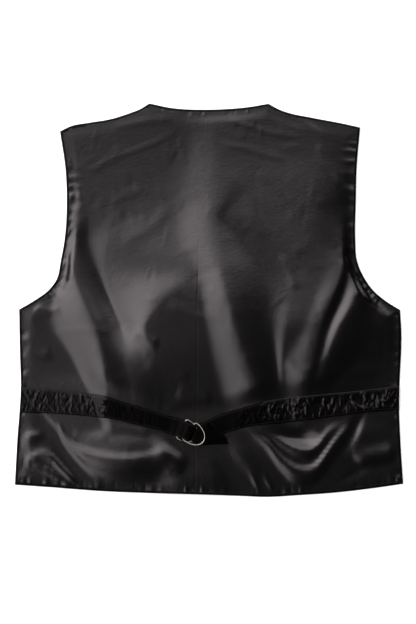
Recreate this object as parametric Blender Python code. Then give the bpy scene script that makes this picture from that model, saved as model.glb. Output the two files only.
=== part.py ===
"""Waistcoat with black suede fronts and a satin back, laid flat with its back up.

Metres, +Z up, +Y towards the shoulders. The origin is on the surface the vest
lies on, under the middle of its outline. Every table below is in millimetres.
"""
import math

import bpy
import numpy as np

MM = 0.001

# ---- walls and clearances, mm
SATIN = 1.2
SUEDE = 1.5
STRAP = 1.6
GAP = 0.3                 # between pieces that are sewn or lie together
HIDDEN_GAP = 0.45         # between the hidden layers
AIR = 1.2                 # loft of the back over the fronts, away from the edges
AIR_TOP = 0.1             # the same between the shoulders
AIR_TOP_Y = (40.0, 150.0)
LOFT_REACH = 40.0         # distance from the edge over which the back lofts
HUMP = 3.4                # the back's broad rise over the fronts' overlap
HUMP_X = (-250.0, -60.0, 130.0, 262.0)
HUMP_Y = (-40.0, 240.0)
FRONT_INSET = 1.6         # fronts stop short of the back's outline

# ---- centre front, mm
LAP_MIDDLE = -18.0
LAP = 30.0                # overlap of the two fronts
V_POINT_Y = 5.0           # bottom of the V neckline
LAP_EASE = (3.0, 48.0)    # past the lap's edge, the right front comes down between these
LAP_EASE_Y = (50.0, 90.0)     # the lap ends up the V between these heights
LAP_EASE_LEFT = (-92.0, -36.0)
PLACKET_X = (-78.0, -40.0, 2.0, 47.0)      # the fronts climb over the buttons, then come down
PLACKET_Y = (-272.0, -248.0, 12.0, 52.0)
BUTTON_Y = (-12.0, -84.0, -156.0, -228.0)
BUTTON_RADIUS = 7.5
BUTTON_HEIGHT = 1.6
BUTTON_RIM = 0.3          # bevel of the rim
BUTTON_SIDES = 24

# ---- outline, rows of (x, y)
HEM = ((-275.2, -261.5), (-225.5, -265.0), (-154.6, -270.4), (-83.7, -273.4), (-12.8, -275.4),
       (44.0, -277.5), (79.4, -278.8), (129.1, -276.1), (171.6, -273.1), (242.5, -264.6),
       (275.2, -259.6))
NECK = ((-84.4, 278.9), (-55.3, 272.8), (-2.8, 270.1), (29.8, 271.3), (58.2, 274.1), (84.1, 278.5))
SHOULDER = {
    "left": ((-211.2, 239.4), (-197.2, 246.2), (-168.8, 251.8), (-140.4, 256.5), (-112.1, 265.3),
             (-97.9, 270.8), (-84.4, 278.9)),
    "right": ((84.1, 278.5), (100.7, 269.7), (114.9, 265.0), (143.3, 259.2), (200.0, 248.2),
              (214.2, 244.9)),
}
# side seams, rows of (y, x)
SIDE = {
    "left": ((-261.5, -275.2), (-198.2, -271.8), (-127.3, -266.7), (-70.6, -268.1), (-13.1, -269.1)),
    "right": ((-259.6, 275.2), (-198.2, 271.3), (-155.7, 269.6), (-127.3, 269.9), (-42.2, 272.6),
              (-13.8, 270.9)),
}
# armholes from the underarm to the shoulder tip, rows of (x, y)
ARMHOLE = {
    "left": ((-269.1, -13.1), (-246.2, 0.4), (-227.1, 14.5), (-216.4, 28.7), (-209.8, 57.1),
             (-204.8, 85.5), (-201.6, 142.2), (-203.3, 184.7), (-211.2, 239.4)),
    "right": ((270.9, -13.8), (248.5, 0.4), (232.3, 14.5), (221.8, 28.7), (209.5, 57.1),
              (207.4, 85.5), (208.2, 142.2), (209.2, 184.7), (214.2, 244.9)),
}
# centre back seam, rows of (y, x)
SEAM = ((-275.4, -19.9), (-199.5, -18.7), (-172.5, -18.2), (36.0, -15.6), (165.0, -10.5),
        (270.1, -4.0))

# ---- cinch strap, rows of (x, y) from the side seam inwards, then on to the centre seam
STRAP_HIGH = {
    "left": ((-267.0, -123.0), (-225.5, -125.2), (-168.8, -132.3), (-147.5, -135.8), (-126.2, -142.9),
             (-97.9, -151.4), (-41.1, -168.4), (-18.2, -172.5)),
    "right": ((270.5, -120.9), (214.2, -128.0), (157.4, -133.7), (100.7, -139.4), (72.3, -145.0),
              (44.0, -153.3), (15.6, -162.5), (-18.2, -172.5)),
}
STRAP_LOW = {
    "left": ((-268.5, -159.2), (-225.5, -160.3), (-168.8, -164.6), (-126.2, -169.9), (-97.9, -177.0),
             (-69.5, -184.0), (-41.1, -194.0), (-18.7, -199.5)),
    "right": ((269.8, -155.3), (214.2, -159.6), (157.4, -167.2), (100.7, -174.1), (72.3, -176.9),
              (44.0, -181.5), (15.6, -189.5), (-18.7, -199.5)),
}

# ---- grid of a back panel: cells in each band between the guide rows
BANDS = (6, 4, 9, 16)     # hem, strap low, strap high, underarm, top
NECK_COLUMNS = 8
SHOULDER_COLUMNS = 12
FRONT_COLUMNS = 14
FRONT_ROWS = (12, 12)     # below and above the V's point

# ---- folds of the back
# Crest, foot and valley lines of the big folds, left to right: rows of (y, x, height)
FOLD_LINES = {
    "left edge": ((265, -285, 0), (-270, -285, 0)),
    "left rise": ((262, -262, 0), (10, -262, 0.2), (-20, -254, 1.0), (-60, -250, 1.4), (-120, -246, 1.4),
                  (-160, -246, 0.6), (-190, -246, 0)),
    "left foot": ((262, -222, 0), (120, -215, 0), (80, -214, 0.2), (40, -212, 0.4), (0, -236, 0.2),
                  (-40, -232, 0.6), (-80, -200, -0.4), (-120, -178, -0.4), (-160, -160, 0.0), (-190, -150, 0)),
    "left crest": ((262, -208, 0), (200, -195, 0.2), (160, -190, 0.4), (120, -186, 0.7), (80, -193, 1.6),
                   (40, -188, 4.4), (0, -175, 6.6), (-40, -158, 8.4), (-80, -150, 9.2), (-120, -145, 8.4),
                   (-160, -140, 4.0), (-190, -138, 0)),
    "left valley": ((262, -190, 0), (200, -180, 0.2), (160, -175, 0.4), (120, -168, 0.6), (80, -176, 0.0),
                    (40, -163, -0.8), (0, -147, 0.4), (-40, -128, 4.6), (-80, -120, 7.3), (-120, -116, 7.0),
                    (-160, -112, 3.4), (-190, -110, 0)),
    "branch foot": ((262, -120, 0), (200, -120, 0.2), (160, -130, 0.4), (120, -135, 0.6), (80, -142, 0.9),
                    (40, -148, -0.4), (0, -136, 0.8), (-40, -112, 5.0), (-80, -102, 7.2), (-120, -100, 6.6),
                    (-160, -95, 3.0), (-190, -90, 0)),
    "branch crest": ((262, -70, 0), (200, -75, 0.2), (160, -75, 0.5), (120, -75, 0.9), (80, -70, 2.0),
                     (40, -38, 5.6), (0, -64, 8.0), (-40, -89, 7.6), (-80, -70, 7.3), (-120, -62, 4.8),
                     (-160, -60, 0.8), (-190, -60, 0)),
    "centre foot": ((262, -45, 0), (200, -50, 0.4), (160, -48, 1.0), (120, -48, 1.8), (80, -45, 3.4),
                    (40, -16, 6.4), (0, -12, 8.0), (-40, -8, 8.2), (-80, 0, 7.2), (-120, 10, 4.4),
                    (-160, 20, 0.8), (-190, 30, 0)),
    "centre crest": ((262, 8, 0.5), (200, 14, 2.2), (160, 20, 3.8), (120, 8, 5.8), (80, 12, 8.2),
                     (40, 22, 11.0), (0, 34, 13.2), (-40, 42, 13.6), (-80, 56, 12.8), (-120, 70, 10.4),
                     (-160, 78, 4.4), (-190, 80, 0)),
    "right valley": ((262, 45, 0.4), (200, 50, 1.9), (160, 60, 3.5), (120, 26, 5.2), (80, 46, 5.8),
                     (40, 70, 6.6), (0, 76, 8.2), (-40, 80, 9.0), (-80, 91, 7.4), (-120, 97, 4.6),
                     (-160, 102, 1.4), (-190, 102, 0)),
    "shelf": ((262, 110, 0.2), (200, 110, 1.9), (160, 115, 3.6), (120, 110, 5.2), (80, 125, 6.8),
              (40, 128, 8.0), (0, 118, 9.4), (-40, 110, 10.1), (-80, 104, 8.4), (-120, 104, 4.9),
              (-160, 106, 1.5), (-190, 106, 0)),
    "right foot": ((262, 150, 0), (200, 150, 1.6), (160, 145, 3.5), (120, 150, 4.8), (80, 160, 5.8),
                   (40, 160, 7.8), (0, 146, 9.4), (-40, 130, 10.5), (-80, 110, 8.7), (-120, 108, 5.2),
                   (-160, 110, 1.6), (-190, 110, 0)),
    "right crest": ((262, 180, 0), (200, 180, 0.9), (160, 180, 2.4), (120, 174, 3.4), (80, 184, 5.4),
                    (40, 186, 9.0), (0, 168, 11.3), (-40, 152, 12.0), (-80, 146, 12.0), (-120, 140, 9.2),
                    (-160, 136, 3.6), (-190, 136, 0)),
    "right groove": ((262, 190, 0), (200, 190, 0.5), (160, 192, 1.2), (120, 190, 1.8), (80, 196, 3.8),
                     (40, 195, 7.4), (0, 182, 8.8), (-40, 161, 11.2), (-80, 154, 11.6), (-120, 147, 8.6),
                     (-160, 142, 3.0), (-190, 142, 0)),
    "second crest": ((262, 200, 0), (200, 200, 0.2), (160, 202, 0.4), (120, 203, 0.6), (80, 204, 2.4),
                     (40, 208, 7.0), (0, 205, 11.2), (-40, 184, 13.4), (-80, 166, 12.8), (-120, 154, 8.2),
                     (-160, 150, 2.6), (-190, 150, 0)),
    "under the arm": ((262, 212, 0), (200, 210, 0), (160, 212, 0), (120, 212, 0), (80, 214, 0.4),
                      (40, 224, 0.8), (0, 234, 3.6), (-40, 236, 4.4), (-80, 215, 4.0), (-120, 180, 3.0),
                      (-160, 166, 0.8), (-190, 166, 0)),
    "right edge": ((265, 285, 0), (-270, 285, 0)),
}
# Rows down a fold: (y, x, height, width towards -x, width towards +x)
DOWN_FOLDS = {
    "diagonal left": (20, ((-150, -248, 0, 16, 12), (-170, -230, -1.8, 22, 14), (-190, -214, -2.8, 24, 16),
                           (-210, -201, -3.0, 24, 18), (-235, -185, -2.8, 22, 20), (-262, -168, -0.8, 20, 20))),
    "diagonal right": (14, ((-152, 222, 0, 14, 12), (-170, 212, -2.0, 16, 12), (-192, 203, -2.2, 18, 14),
                            (-212, 192, -1.0, 18, 14), (-228, 184, 0, 18, 14))),
    "buckle side": (16, ((-188, -34, 0, 40, 26), (-204, -38, 2.0, 46, 26), (-224, -41, 2.6, 48, 28),
                         (-244, -44, 1.6, 44, 28), (-262, -46, 0, 40, 24))),
}
# rows across a fold: (x, y, height, width towards -y, width towards +y)
ACROSS_FOLDS = {
    "outer swag right": (12, ((50, -180, 0, 12, 10), (66, -190, 1.2, 14, 12), (84, -205, 2.2, 16, 14),
                              (100, -225, 2.6, 20, 15), (118, -239, 2.8, 30, 14), (136, -244, 2.8, 32, 14),
                              (152, -238, 2.8, 28, 15), (168, -218, 2.6, 24, 16), (180, -202, 2.2, 20, 16),
                              (196, -184, 0.6, 14, 12))),
    "swag left": (16, ((-214, -176, 0, 12, 8), (-206, -192, 1.6, 16, 10), (-192, -209, 2.2, 28, 11),
                       (-166, -220, 2.6, 42, 12), (-135, -223, 2.8, 46, 12), (-104, -224, 2.6, 44, 14),
                       (-76, -220, 1.8, 36, 18), (-48, -206, 0.4, 24, 18), (-30, -196, 0, 20, 16))),
}
# pools: (x, y, radius along, radius across, turn in degrees, height)
POOLS = {
    "under the strap right": (130, -188, 34, 16, -10, -2.2),
    "below the strap left": (-130, -214, 120, 58, 0, 2.2),
    "below the strap right": (160, -214, 110, 58, 0, 1.8),
}
STRAP_PRESS = 0.55        # share of a fold's height lost where the strap holds the back down
PRESS_REACH = 28.0
FOLD_FADE = (-2.0, 16.0)  # distances from the outline between which the folds rise
LOFT_FADE = 20.0          # distance from the outline at which the back leaves the fronts

# ---- buckle, mm
RING_WIRE = 1.2           # radius
RING_HALF_WIDTH = 14.9    # middle of the bar to the middle of a leg
RING_DEPTH = 25.5
RING_LEG = 4.3
RING_CORNER = 3.2
RING_SIDES = 8
CORNER_STEPS = 4
ARC_STEPS = 22
BUCKLE = (-15.0, -187.0)  # the back lies level round this place
BUCKLE_FADE = (38.0, 64.0)    # distances from the buckle between which the folds rise
BUCKLE_SQUASH = 1.3       # the level place is this much shorter than it is wide
# rows of (x, y, turn in degrees below +x, height over the back)
RINGS = {
    "ring_lower": (-39.1, -181.6, 29.0, 3.4),
    "ring_upper": (-28.1, -184.2, 40.0, 8.0),
}
# left strap past the sewn part: (x, y, heading, half width, height of its middle over the back)
LEFT_LOOP = (
    (-48.6, -178.4, -19.5, 12.4, 5.0), (-43.5, -180.2, -20, 12.3, 5.5), (-39.2, -181.7, -20.5, 12.2, 6.9),
    (-36.4, -182.8, -21.5, 12.1, 8.5), (-34.6, -183.5, -22.5, 12.0, 9.6), (-32.6, -184.3, -23.5, 12.0, 10.4),
    (-29.4, -185.6, -25.5, 12.0, 10.6), (-26.4, -186.9, -29, 12.0, 10.5),
)
LOOP_NOSE = (-26.0, -187.1, -30.0, 12.0, 8.1, 2.45)   # x, y, heading, half width, height, radius
LEFT_RETURN = (
    (-26.6, -186.8, -29, 12.0, 5.6), (-29.4, -185.6, -26, 12.0, 5.5), (-31.4, -184.8, -24, 12.0, 4.6),
    (-33.4, -184.0, -22.5, 12.0, 2.8), (-35.4, -183.2, -21.5, 12.0, 1.3), (-38.2, -182.1, -20.5, 12.1, 1.1),
    (-44.0, -180.0, -20, 12.1, 1.1), (-52.0, -177.2, -19, 12.1, 1.1), (-60.0, -174.5, -18.7, 12.1, 1.1),
)
# right strap past the sewn part, going left beneath both rings
RIGHT_RUN = (
    (37.0, -169.6, -164, 13.9, 1.1), (24.0, -173.6, -161, 13.7, 1.1), (12.0, -178.2, -158, 13.4, 1.1),
    (2.0, -182.6, -158, 13.0, 1.1), (-7.0, -186.3, -161, 12.4, 1.1), (-15.5, -188.7, -172, 11.4, 1.1),
    (-22.0, -189.3, -190, 10.4, 1.1), (-26.6, -188.4, -201, 10.0, 1.1),
)
U_TURN = (-27.3, -188.1, -202.0, 10.0, 2.35, 1.25)
TAIL = (
    (-26.6, -188.4, -22, 10.0, 3.6), (-24.6, -189.1, -22, 9.8, 3.8), (-22.8, -189.8, -22, 9.2, 4.5),
    (-21.6, -190.2, -21, 9.0, 5.5), (-19.8, -190.5, -17, 9.8, 5.8), (-16.8, -190.9, -9, 12.0, 5.8),
    (-13.0, -190.9, 0, 13.6, 5.8), (-7.0, -190.2, 5, 14.8, 5.8), (-3.0, -189.2, 3, 15.1, 5.7),
)
# tail end, top edge to tip: (x, y)
TAIL_END = ((6.4, -173.7), (13.0, -180.3), (19.0, -187.6), (24.0, -195.4), (27.9, -203.3))
TAIL_FALL = ((0.3, 4.7), (0.55, 3.6), (0.8, 3.1), (1.0, 3.0))    # share of the way, height
TAIL_DROOP = 1.5          # fall of the tip's free lower edge
DROOP_Y = (-203.0, -191.0)
LEFT_LIFT = 3.2           # height that the left strap gains between these before its loop
LEFT_LIFT_X = (-150.0, -56.0)
STRAP_CELLS = 4
SEWN_FROM = {"left": 3, "right": 5}       # the panel's column where the strap leaves its grid


def smooth(low, high, value):
    """0 below low, 1 above high, eased between."""
    t = np.clip((np.asarray(value, float) - low) / (high - low), 0.0, 1.0)
    return t * t * (3.0 - 2.0 * t)


def stations(rows, at):
    """Values at a place on a table whose first column is that place; smooth between rows."""
    table = np.asarray(sorted(rows), float)
    place, value = table[:, 0], table[:, 1:]
    slope = np.gradient(value, place, axis=0)
    at = np.clip(np.asarray(at, float), place[0], place[-1])
    i = np.clip(np.searchsorted(place, at, side="right") - 1, 0, len(place) - 2)
    step = (place[i + 1] - place[i])[..., None]
    s = (at - place[i])[..., None] / step
    return (value[i] * (2 * s**3 - 3 * s**2 + 1) + slope[i] * step * (s**3 - 2 * s**2 + s)
            + value[i + 1] * (3 * s**2 - 2 * s**3) + slope[i + 1] * step * (s**3 - s**2))


def y_at(rows, x):
    """The second column of a table of two, at a place in its first."""
    return stations(rows, x)[..., 0]


def along(points, t):
    """Point at the share t of a path's length."""
    path = np.asarray(points, float)
    length = np.concatenate([[0], np.cumsum(np.hypot(*np.diff(path, axis=0).T))])
    return stations(np.column_stack([length / length[-1], path]).tolist(), t)


# ---- surfaces

def fold_height(u, v, rows, taper):
    """Height of one fold: u runs along it and v across it."""
    first, last = min(r[0] for r in rows), max(r[0] for r in rows)
    middle, height, width_low, width_high = np.moveaxis(stations(rows, u), -1, 0)
    offset = v - middle
    width = np.where(offset < 0, width_low, width_high)
    q = np.clip(np.abs(offset) / np.maximum(width, 1.0), 0, 1)
    past = np.clip(np.maximum(first - u, u - last) / taper, 0, 1)
    return height * (1 - q * q)**3 * (1 - past * past)**2


def between_lines(x, y, least=3.0):
    """Height of the big folds: smooth across from line to line, flat-topped at crests and valleys."""
    shape = np.shape(x)
    x, y = np.ravel(x), np.ravel(y)
    lines = [stations(rows, y) for rows in FOLD_LINES.values()]
    place = np.stack([line[:, 0] for line in lines], axis=1)
    height = np.stack([line[:, 1] for line in lines], axis=1)
    for k in range(1, place.shape[1]):
        place[:, k] = np.maximum(place[:, k], place[:, k - 1] + least)
    run = np.diff(place, axis=1)
    slope = np.diff(height, axis=1) / run
    at_line = np.zeros(height.shape)
    a, b = slope[:, :-1], slope[:, 1:]
    weight_a, weight_b = run[:, :-1] + 2 * run[:, 1:], 2 * run[:, :-1] + run[:, 1:]
    same = a * b > 0
    mean = (weight_a + weight_b) / (weight_a / np.where(same, b, 1) + weight_b / np.where(same, a, 1))
    at_line[:, 1:-1] = np.where(same, mean, 0)
    k = np.clip((place <= x[:, None]).sum(axis=1) - 1, 0, place.shape[1] - 2)
    n = np.arange(len(x))
    h = run[n, k]
    s = np.clip((x - place[n, k]) / h, 0, 1)
    z = (height[n, k] * (2 * s**3 - 3 * s**2 + 1) + at_line[n, k] * h * (s**3 - 2 * s**2 + s)
         + height[n, k + 1] * (3 * s**2 - 2 * s**3) + at_line[n, k + 1] * h * (s**3 - s**2))
    return z.reshape(shape)


def pool_height(x, y, row):
    cx, cy, radius_u, radius_v, turn, height = row
    c, s = math.cos(math.radians(turn)), math.sin(math.radians(turn))
    u = ((x - cx) * c + (y - cy) * s) / radius_u
    v = (-(x - cx) * s + (y - cy) * c) / radius_v
    return height * (1 - np.clip(u * u + v * v, 0, 1))**2


def outline():
    """The back's outline as one closed run of points."""
    steps = np.linspace(0, 1, 13)
    runs = [np.asarray(HEM), np.asarray(SIDE["right"])[1:, ::-1], along(ARMHOLE["right"], steps)[1:],
            np.asarray(SHOULDER["right"])[::-1][1:], np.asarray(NECK)[::-1][1:],
            np.asarray(SHOULDER["left"])[::-1][1:], along(ARMHOLE["left"], steps)[::-1][1:],
            np.asarray(SIDE["left"])[::-1, ::-1][1:]]
    return np.vstack(runs)


def edge_distance(x, y):
    """Distance from the nearest stretch of the outline."""
    ring = outline()
    nearest = np.full(np.shape(x), 1e6)
    for a, b in zip(ring, np.roll(ring, -1, axis=0)):
        run = b - a
        t = np.clip(((x - a[0]) * run[0] + (y - a[1]) * run[1]) / max(run @ run, 1e-6), 0, 1)
        nearest = np.minimum(nearest, np.hypot(x - a[0] - t * run[0], y - a[1] - t * run[1]))
    return nearest


def lap_lift(x, y):
    """Share by which the right front climbs over the left one."""
    edge = LAP_MIDDLE + LAP / 2
    return (1 - smooth(edge + LAP_EASE[0], edge + LAP_EASE[1], x)) * (1 - smooth(*LAP_EASE_Y, y))


def placket_lift(x, y):
    """Share by which both fronts climb over the buttons."""
    across = smooth(*PLACKET_X[:2], x) * (1 - smooth(*PLACKET_X[2:], x))
    return across * smooth(*PLACKET_Y[:2], y) * (1 - smooth(*PLACKET_Y[2:], y))


LIFT_OVER_BUTTON = BUTTON_HEIGHT + GAP
LIFT_OVER_FRONT = SUEDE + GAP


def fronts_top(x, y):
    """Height of the fronts below the back."""
    lap = lap_lift(x, y) * smooth(*LAP_EASE_LEFT, x)
    return SUEDE + LIFT_OVER_FRONT * lap + LIFT_OVER_BUTTON * placket_lift(x, y)


def soft_max(a, b, blend):
    return 0.5 * (a + b + np.sqrt((a - b)**2 + blend**2))


def strap_distance(x, y):
    """Distance above or below the cinch strap."""
    left = np.asarray(x) < LAP_MIDDLE
    high = np.where(left, y_at(STRAP_HIGH["left"], x), y_at(STRAP_HIGH["right"], x))
    low = np.where(left, y_at(STRAP_LOW["left"], x), y_at(STRAP_LOW["right"], x))
    return np.clip(np.maximum(y - high, low - y), 0, None)


def back_top(x, y):
    """Height of the back's outer face."""
    x, y = np.asarray(x, float), np.asarray(y, float)
    folds = between_lines(x, y)
    for taper, rows in DOWN_FOLDS.values():
        folds += fold_height(y, x, rows, taper)
    for taper, rows in ACROSS_FOLDS.values():
        folds += fold_height(x, y, rows, taper)
    for row in POOLS.values():
        folds += pool_height(x, y, row)
    folds *= 1 - STRAP_PRESS * (1 - smooth(0, PRESS_REACH, strap_distance(x, y)))
    folds *= smooth(*BUCKLE_FADE, np.hypot(x - BUCKLE[0], (y - BUCKLE[1]) * BUCKLE_SQUASH))
    edge = edge_distance(x, y)
    folds *= smooth(*FOLD_FADE, edge)
    floor = fronts_top(x, y) + HIDDEN_GAP + SATIN
    air = AIR + (AIR_TOP - AIR) * smooth(*AIR_TOP_Y, y)
    air += HUMP * smooth(*HUMP_X[:2], x) * (1 - smooth(*HUMP_X[2:], x)) * (1 - smooth(*HUMP_Y, y))
    loft = SUEDE + GAP + SATIN + air * (1 - np.exp(-(edge / LOFT_REACH)**2))
    touching = fronts_top(x, y) + GAP + SATIN
    inner = smooth(0, LOFT_FADE, edge)
    return touching + (soft_max(loft + folds, floor, 0.4) - touching) * inner


# ---- grids

def side_x(side, y):
    return y_at(SIDE[side], y)


def panel_grid(side):
    """Grid of a back panel, row by row from hem to top, from the centre seam outwards."""
    sign = -1 if side == "left" else 1
    neck_x = abs(SHOULDER[side][-1 if side == "left" else 0][0])
    tip = np.asarray(ARMHOLE[side][-1], float)
    seam_top = np.array([SEAM[-1][1] + sign * GAP / 2, SEAM[-1][0]])
    neck_share = (sign * neck_x - seam_top[0]) / (tip[0] - seam_top[0])
    share = np.concatenate([np.linspace(0, neck_share, NECK_COLUMNS + 1),
                            np.linspace(neck_share, 1, SHOULDER_COLUMNS + 1)[1:]])
    underarm = ARMHOLE[side][0]
    corner = SIDE[side][0]

    def top(x):
        inside = np.abs(x) < neck_x
        return np.where(inside, y_at(NECK, x), y_at(SHOULDER[side], x))

    def level(x):
        return np.full(np.shape(x), float(underarm[1]))

    high, low = STRAP_HIGH[side], STRAP_LOW[side]
    guides = [(lambda x: y_at(HEM, x), corner[1]), (lambda x: y_at(low, x), side_x(side, low[0][1])),
              (lambda x: y_at(high, x), side_x(side, high[0][1])), (level, underarm[0]), (top, tip[0])]
    seam_y = [y_at(HEM, SEAM[0][1]), SEAM[1][0], SEAM[2][0], underarm[1], SEAM[-1][0]]
    rows = []
    for band, cells in enumerate(BANDS):
        edges = []
        for guide in (band, band + 1):
            height, x_out = guides[guide]
            x_in = stations(SEAM, seam_y[guide])[..., 0] + sign * GAP / 2
            x = x_in + (x_out - x_in) * share
            edges.append(np.column_stack([x, height(x)]))
        chords = [e[:1] + (e[-1:] - e[:1]) * share[:, None] for e in edges]
        for k in range(cells + (band == len(BANDS) - 1)):
            t = k / cells
            y_in = seam_y[band] + (seam_y[band + 1] - seam_y[band]) * t
            inner = np.array([float(stations(SEAM, y_in)[..., 0]) + sign * GAP / 2, float(y_in)])
            if band < len(BANDS) - 1:
                y_out = edges[0][-1, 1] + (edges[1][-1, 1] - edges[0][-1, 1]) * t
                outer = np.array([float(side_x(side, y_out)), float(y_out)])
            else:
                outer = along(ARMHOLE[side], t)
            chord = inner + (outer - inner) * share[:, None]
            rows.append(chord + (1 - t) * (edges[0] - chords[0]) + t * (edges[1] - chords[1]))
    grid = np.array(rows)
    return grid[..., 0], grid[..., 1]


def front_grid(side):
    """Grid of a front panel, from its centre front edge outwards."""
    sign = -1 if side == "left" else 1
    edge_x = LAP_MIDDLE - sign * LAP / 2
    neck = SHOULDER[side][-1 if side == "left" else 0]
    tip = ARMHOLE[side][-1]
    low_rows, high_rows = FRONT_ROWS
    share = np.linspace(0, 1, FRONT_COLUMNS + 1)**1.35      # columns closer at the centre front
    rows = []
    corner_y = SIDE[side][0][0] + FRONT_INSET
    for k in range(low_rows + 1):
        t = k / low_rows
        y_out = corner_y + (ARMHOLE[side][0][1] - corner_y) * t
        x_out = side_x(side, y_out) - sign * FRONT_INSET
        x = edge_x + (x_out - edge_x) * share
        hem = y_at(HEM, x) + FRONT_INSET
        level = V_POINT_Y + (ARMHOLE[side][0][1] - V_POINT_Y) * share
        rows.append(np.column_stack([x, hem + (level - hem) * t]))
    base = rows[-1][:, 1]
    straight_base = base[0] + (base[-1] - base[0]) * share
    for k in range(1, high_rows + 1):
        t = k / high_rows
        inner = np.array([edge_x + (neck[0] - edge_x) * t,
                          V_POINT_Y + (neck[1] - FRONT_INSET - V_POINT_Y) * t])
        outer = along(ARMHOLE[side], t) - np.array([sign * FRONT_INSET, FRONT_INSET * t])
        x_top = neck[0] + (tip[0] - sign * FRONT_INSET - neck[0]) * share
        rise = y_at(SHOULDER[side], x_top) - (neck[1] + (tip[1] - neck[1]) * share)
        row = inner + (outer - inner) * share[:, None]
        row[:, 1] += rise * t + (base - straight_base) * (1 - t)
        rows.append(row)
    grid = np.array(rows)
    return grid[..., 0], grid[..., 1]


# ---- meshes

def add_object(name, points, faces, colour, roughness, metallic=0.0):
    mesh = bpy.data.meshes.new(name)
    mesh.from_pydata([tuple(MM * float(c) for c in p) for p in points], [], faces)
    mesh.update()
    mesh.shade_smooth()
    mesh.set_sharp_from_angle(angle=math.radians(40))
    material = bpy.data.materials.new(name)
    material.use_nodes = True
    shader = material.node_tree.nodes["Principled BSDF"]
    shader.inputs["Base Color"].default_value = (*colour, 1.0)
    shader.inputs["Roughness"].default_value = roughness
    shader.inputs["Metallic"].default_value = metallic
    mesh.materials.append(material)
    piece = bpy.data.objects.new(name, mesh)
    bpy.context.scene.collection.objects.link(piece)
    return piece


def wall(name, outer, inner, colour, roughness):
    """Closed wall between two grids of points, the outer one facing +Z."""
    count_u, count_v = outer.shape[:2]
    turn = np.cross(outer[1, 0] - outer[0, 0], outer[0, 1] - outer[0, 0])[2] > 0
    points = np.vstack([outer.reshape(-1, 3), inner.reshape(-1, 3)])
    under = count_u * count_v

    def at(u, v):
        return u * count_v + v

    faces = []

    def quad(a, b, c, d, flip):
        for face in ((a, b, c), (a, c, d)):
            faces.append(face[::-1] if flip else face)

    for u in range(count_u - 1):
        for v in range(count_v - 1):
            cell = (at(u, v), at(u + 1, v), at(u + 1, v + 1), at(u, v + 1))
            quad(*cell, not turn)
            quad(*(under + i for i in cell), turn)
    rim = [at(u, 0) for u in range(count_u)] + [at(count_u - 1, v) for v in range(1, count_v)]
    rim += [at(u, count_v - 1) for u in range(count_u - 2, -1, -1)]
    rim += [at(0, v) for v in range(count_v - 2, 0, -1)]
    for a, b in zip(rim, rim[1:] + rim[:1]):
        quad(a, under + a, under + b, b, not turn)
    return add_object(name, points, faces, colour, roughness)


def lay(x, y, z):
    return np.stack([x, y, z], axis=-1)


SATIN_COLOUR = (0.012, 0.011, 0.012)
STRAP_COLOUR = (0.008, 0.007, 0.008)
SUEDE_COLOUR = (0.018, 0.017, 0.017)
STEEL_COLOUR = (0.78, 0.76, 0.72)
BUTTON_COLOUR = (0.015, 0.015, 0.015)


def make_back(side):
    x, y = panel_grid(side)
    z = back_top(x, y)
    wall("back_" + side, lay(x, y, z), lay(x, y, z - SATIN), SATIN_COLOUR, 0.34)
    return x, y, z


def make_front(side):
    x, y = front_grid(side)
    z = LIFT_OVER_BUTTON * placket_lift(x, y)
    if side == "right":
        z = z + LIFT_OVER_FRONT * lap_lift(x, y)
    wall("front_" + side, lay(x, y, z + SUEDE), lay(x, y, z), SUEDE_COLOUR, 0.9)


def strap_lift(side, x):
    """Height of the free strap over the back, over its sewn height."""
    if side == "left":
        return LEFT_LIFT * smooth(*LEFT_LIFT_X, x)
    return np.zeros(np.shape(x))


def free_run(rows):
    """Rows of (x, y, heading, half width, height) as stations: middle, across, half width."""
    run = []
    for x, y, heading, half, height in rows:
        turn = math.radians(heading)
        run.append((x, y, height, (-math.sin(turn), math.cos(turn)), half))
    return run


def fold_over(row, over, count=7):
    """Stations of a half turn, down from above for the loop or up from below for the tail."""
    x, y, heading, half, height, radius = row
    turn = math.radians(heading)
    ahead = (math.cos(turn), math.sin(turn))
    run = []
    for k in range(count):
        angle = math.pi / 2 - math.pi * k / (count - 1)
        reach = radius * math.cos(angle)
        rise = radius * math.sin(angle) * (1 if over else -1)
        run.append((x + reach * ahead[0], y + reach * ahead[1], height + rise,
                    (-math.sin(turn), math.cos(turn)), half))
    return run


def ribbon(run):
    """Middle surface and unit normals of a free strap from its stations."""
    middle, across = [], []
    for x, y, height, side_way, half in run:
        steps = np.linspace(-1, 1, STRAP_CELLS + 1) * half
        px, py = x + steps * side_way[0], y + steps * side_way[1]
        level = back_top(px, py).max()
        middle.append(lay(px, py, np.full(px.shape, level + height)))
        across.append(np.array([*side_way, 0.0]))
    middle = np.array(middle)
    tangent = np.gradient(middle, axis=0)
    tangent /= np.linalg.norm(tangent, axis=-1, keepdims=True)
    normal = np.cross(tangent, np.array(across)[:, None, :])
    normal /= np.linalg.norm(normal, axis=-1, keepdims=True)
    return middle, normal


def sewn_part(side, back, first_column):
    """Strap over the panel's own points, from the side seam inwards."""
    x, y, z = back
    rows = slice(BANDS[0], BANDS[0] + BANDS[1] + 1)
    cut = [a[rows, first_column:][:, ::-1].T for a in (x, y, z)]
    lower = lay(cut[0], cut[1], cut[2] + GAP + strap_lift(side, cut[0]))
    return lower, lower + np.array([0, 0, STRAP])


def make_left_strap(back):
    lower, upper = sewn_part("left", back, SEWN_FROM["left"])
    run = free_run(LEFT_LOOP) + fold_over(LOOP_NOSE, True)[1:-1]
    middle, normal = ribbon(run + free_run(LEFT_RETURN))
    normal = -normal if normal[0, 0, 2] < 0 else normal
    outer = np.vstack([upper, middle + normal * STRAP / 2])
    inner = np.vstack([lower, middle - normal * STRAP / 2])
    wall("strap_left", outer, inner, STRAP_COLOUR, 0.4)


def turned(run):
    """The same stations with their other side first."""
    return [(x, y, height, (-way[0], -way[1]), half) for x, y, height, way, half in run]


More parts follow.
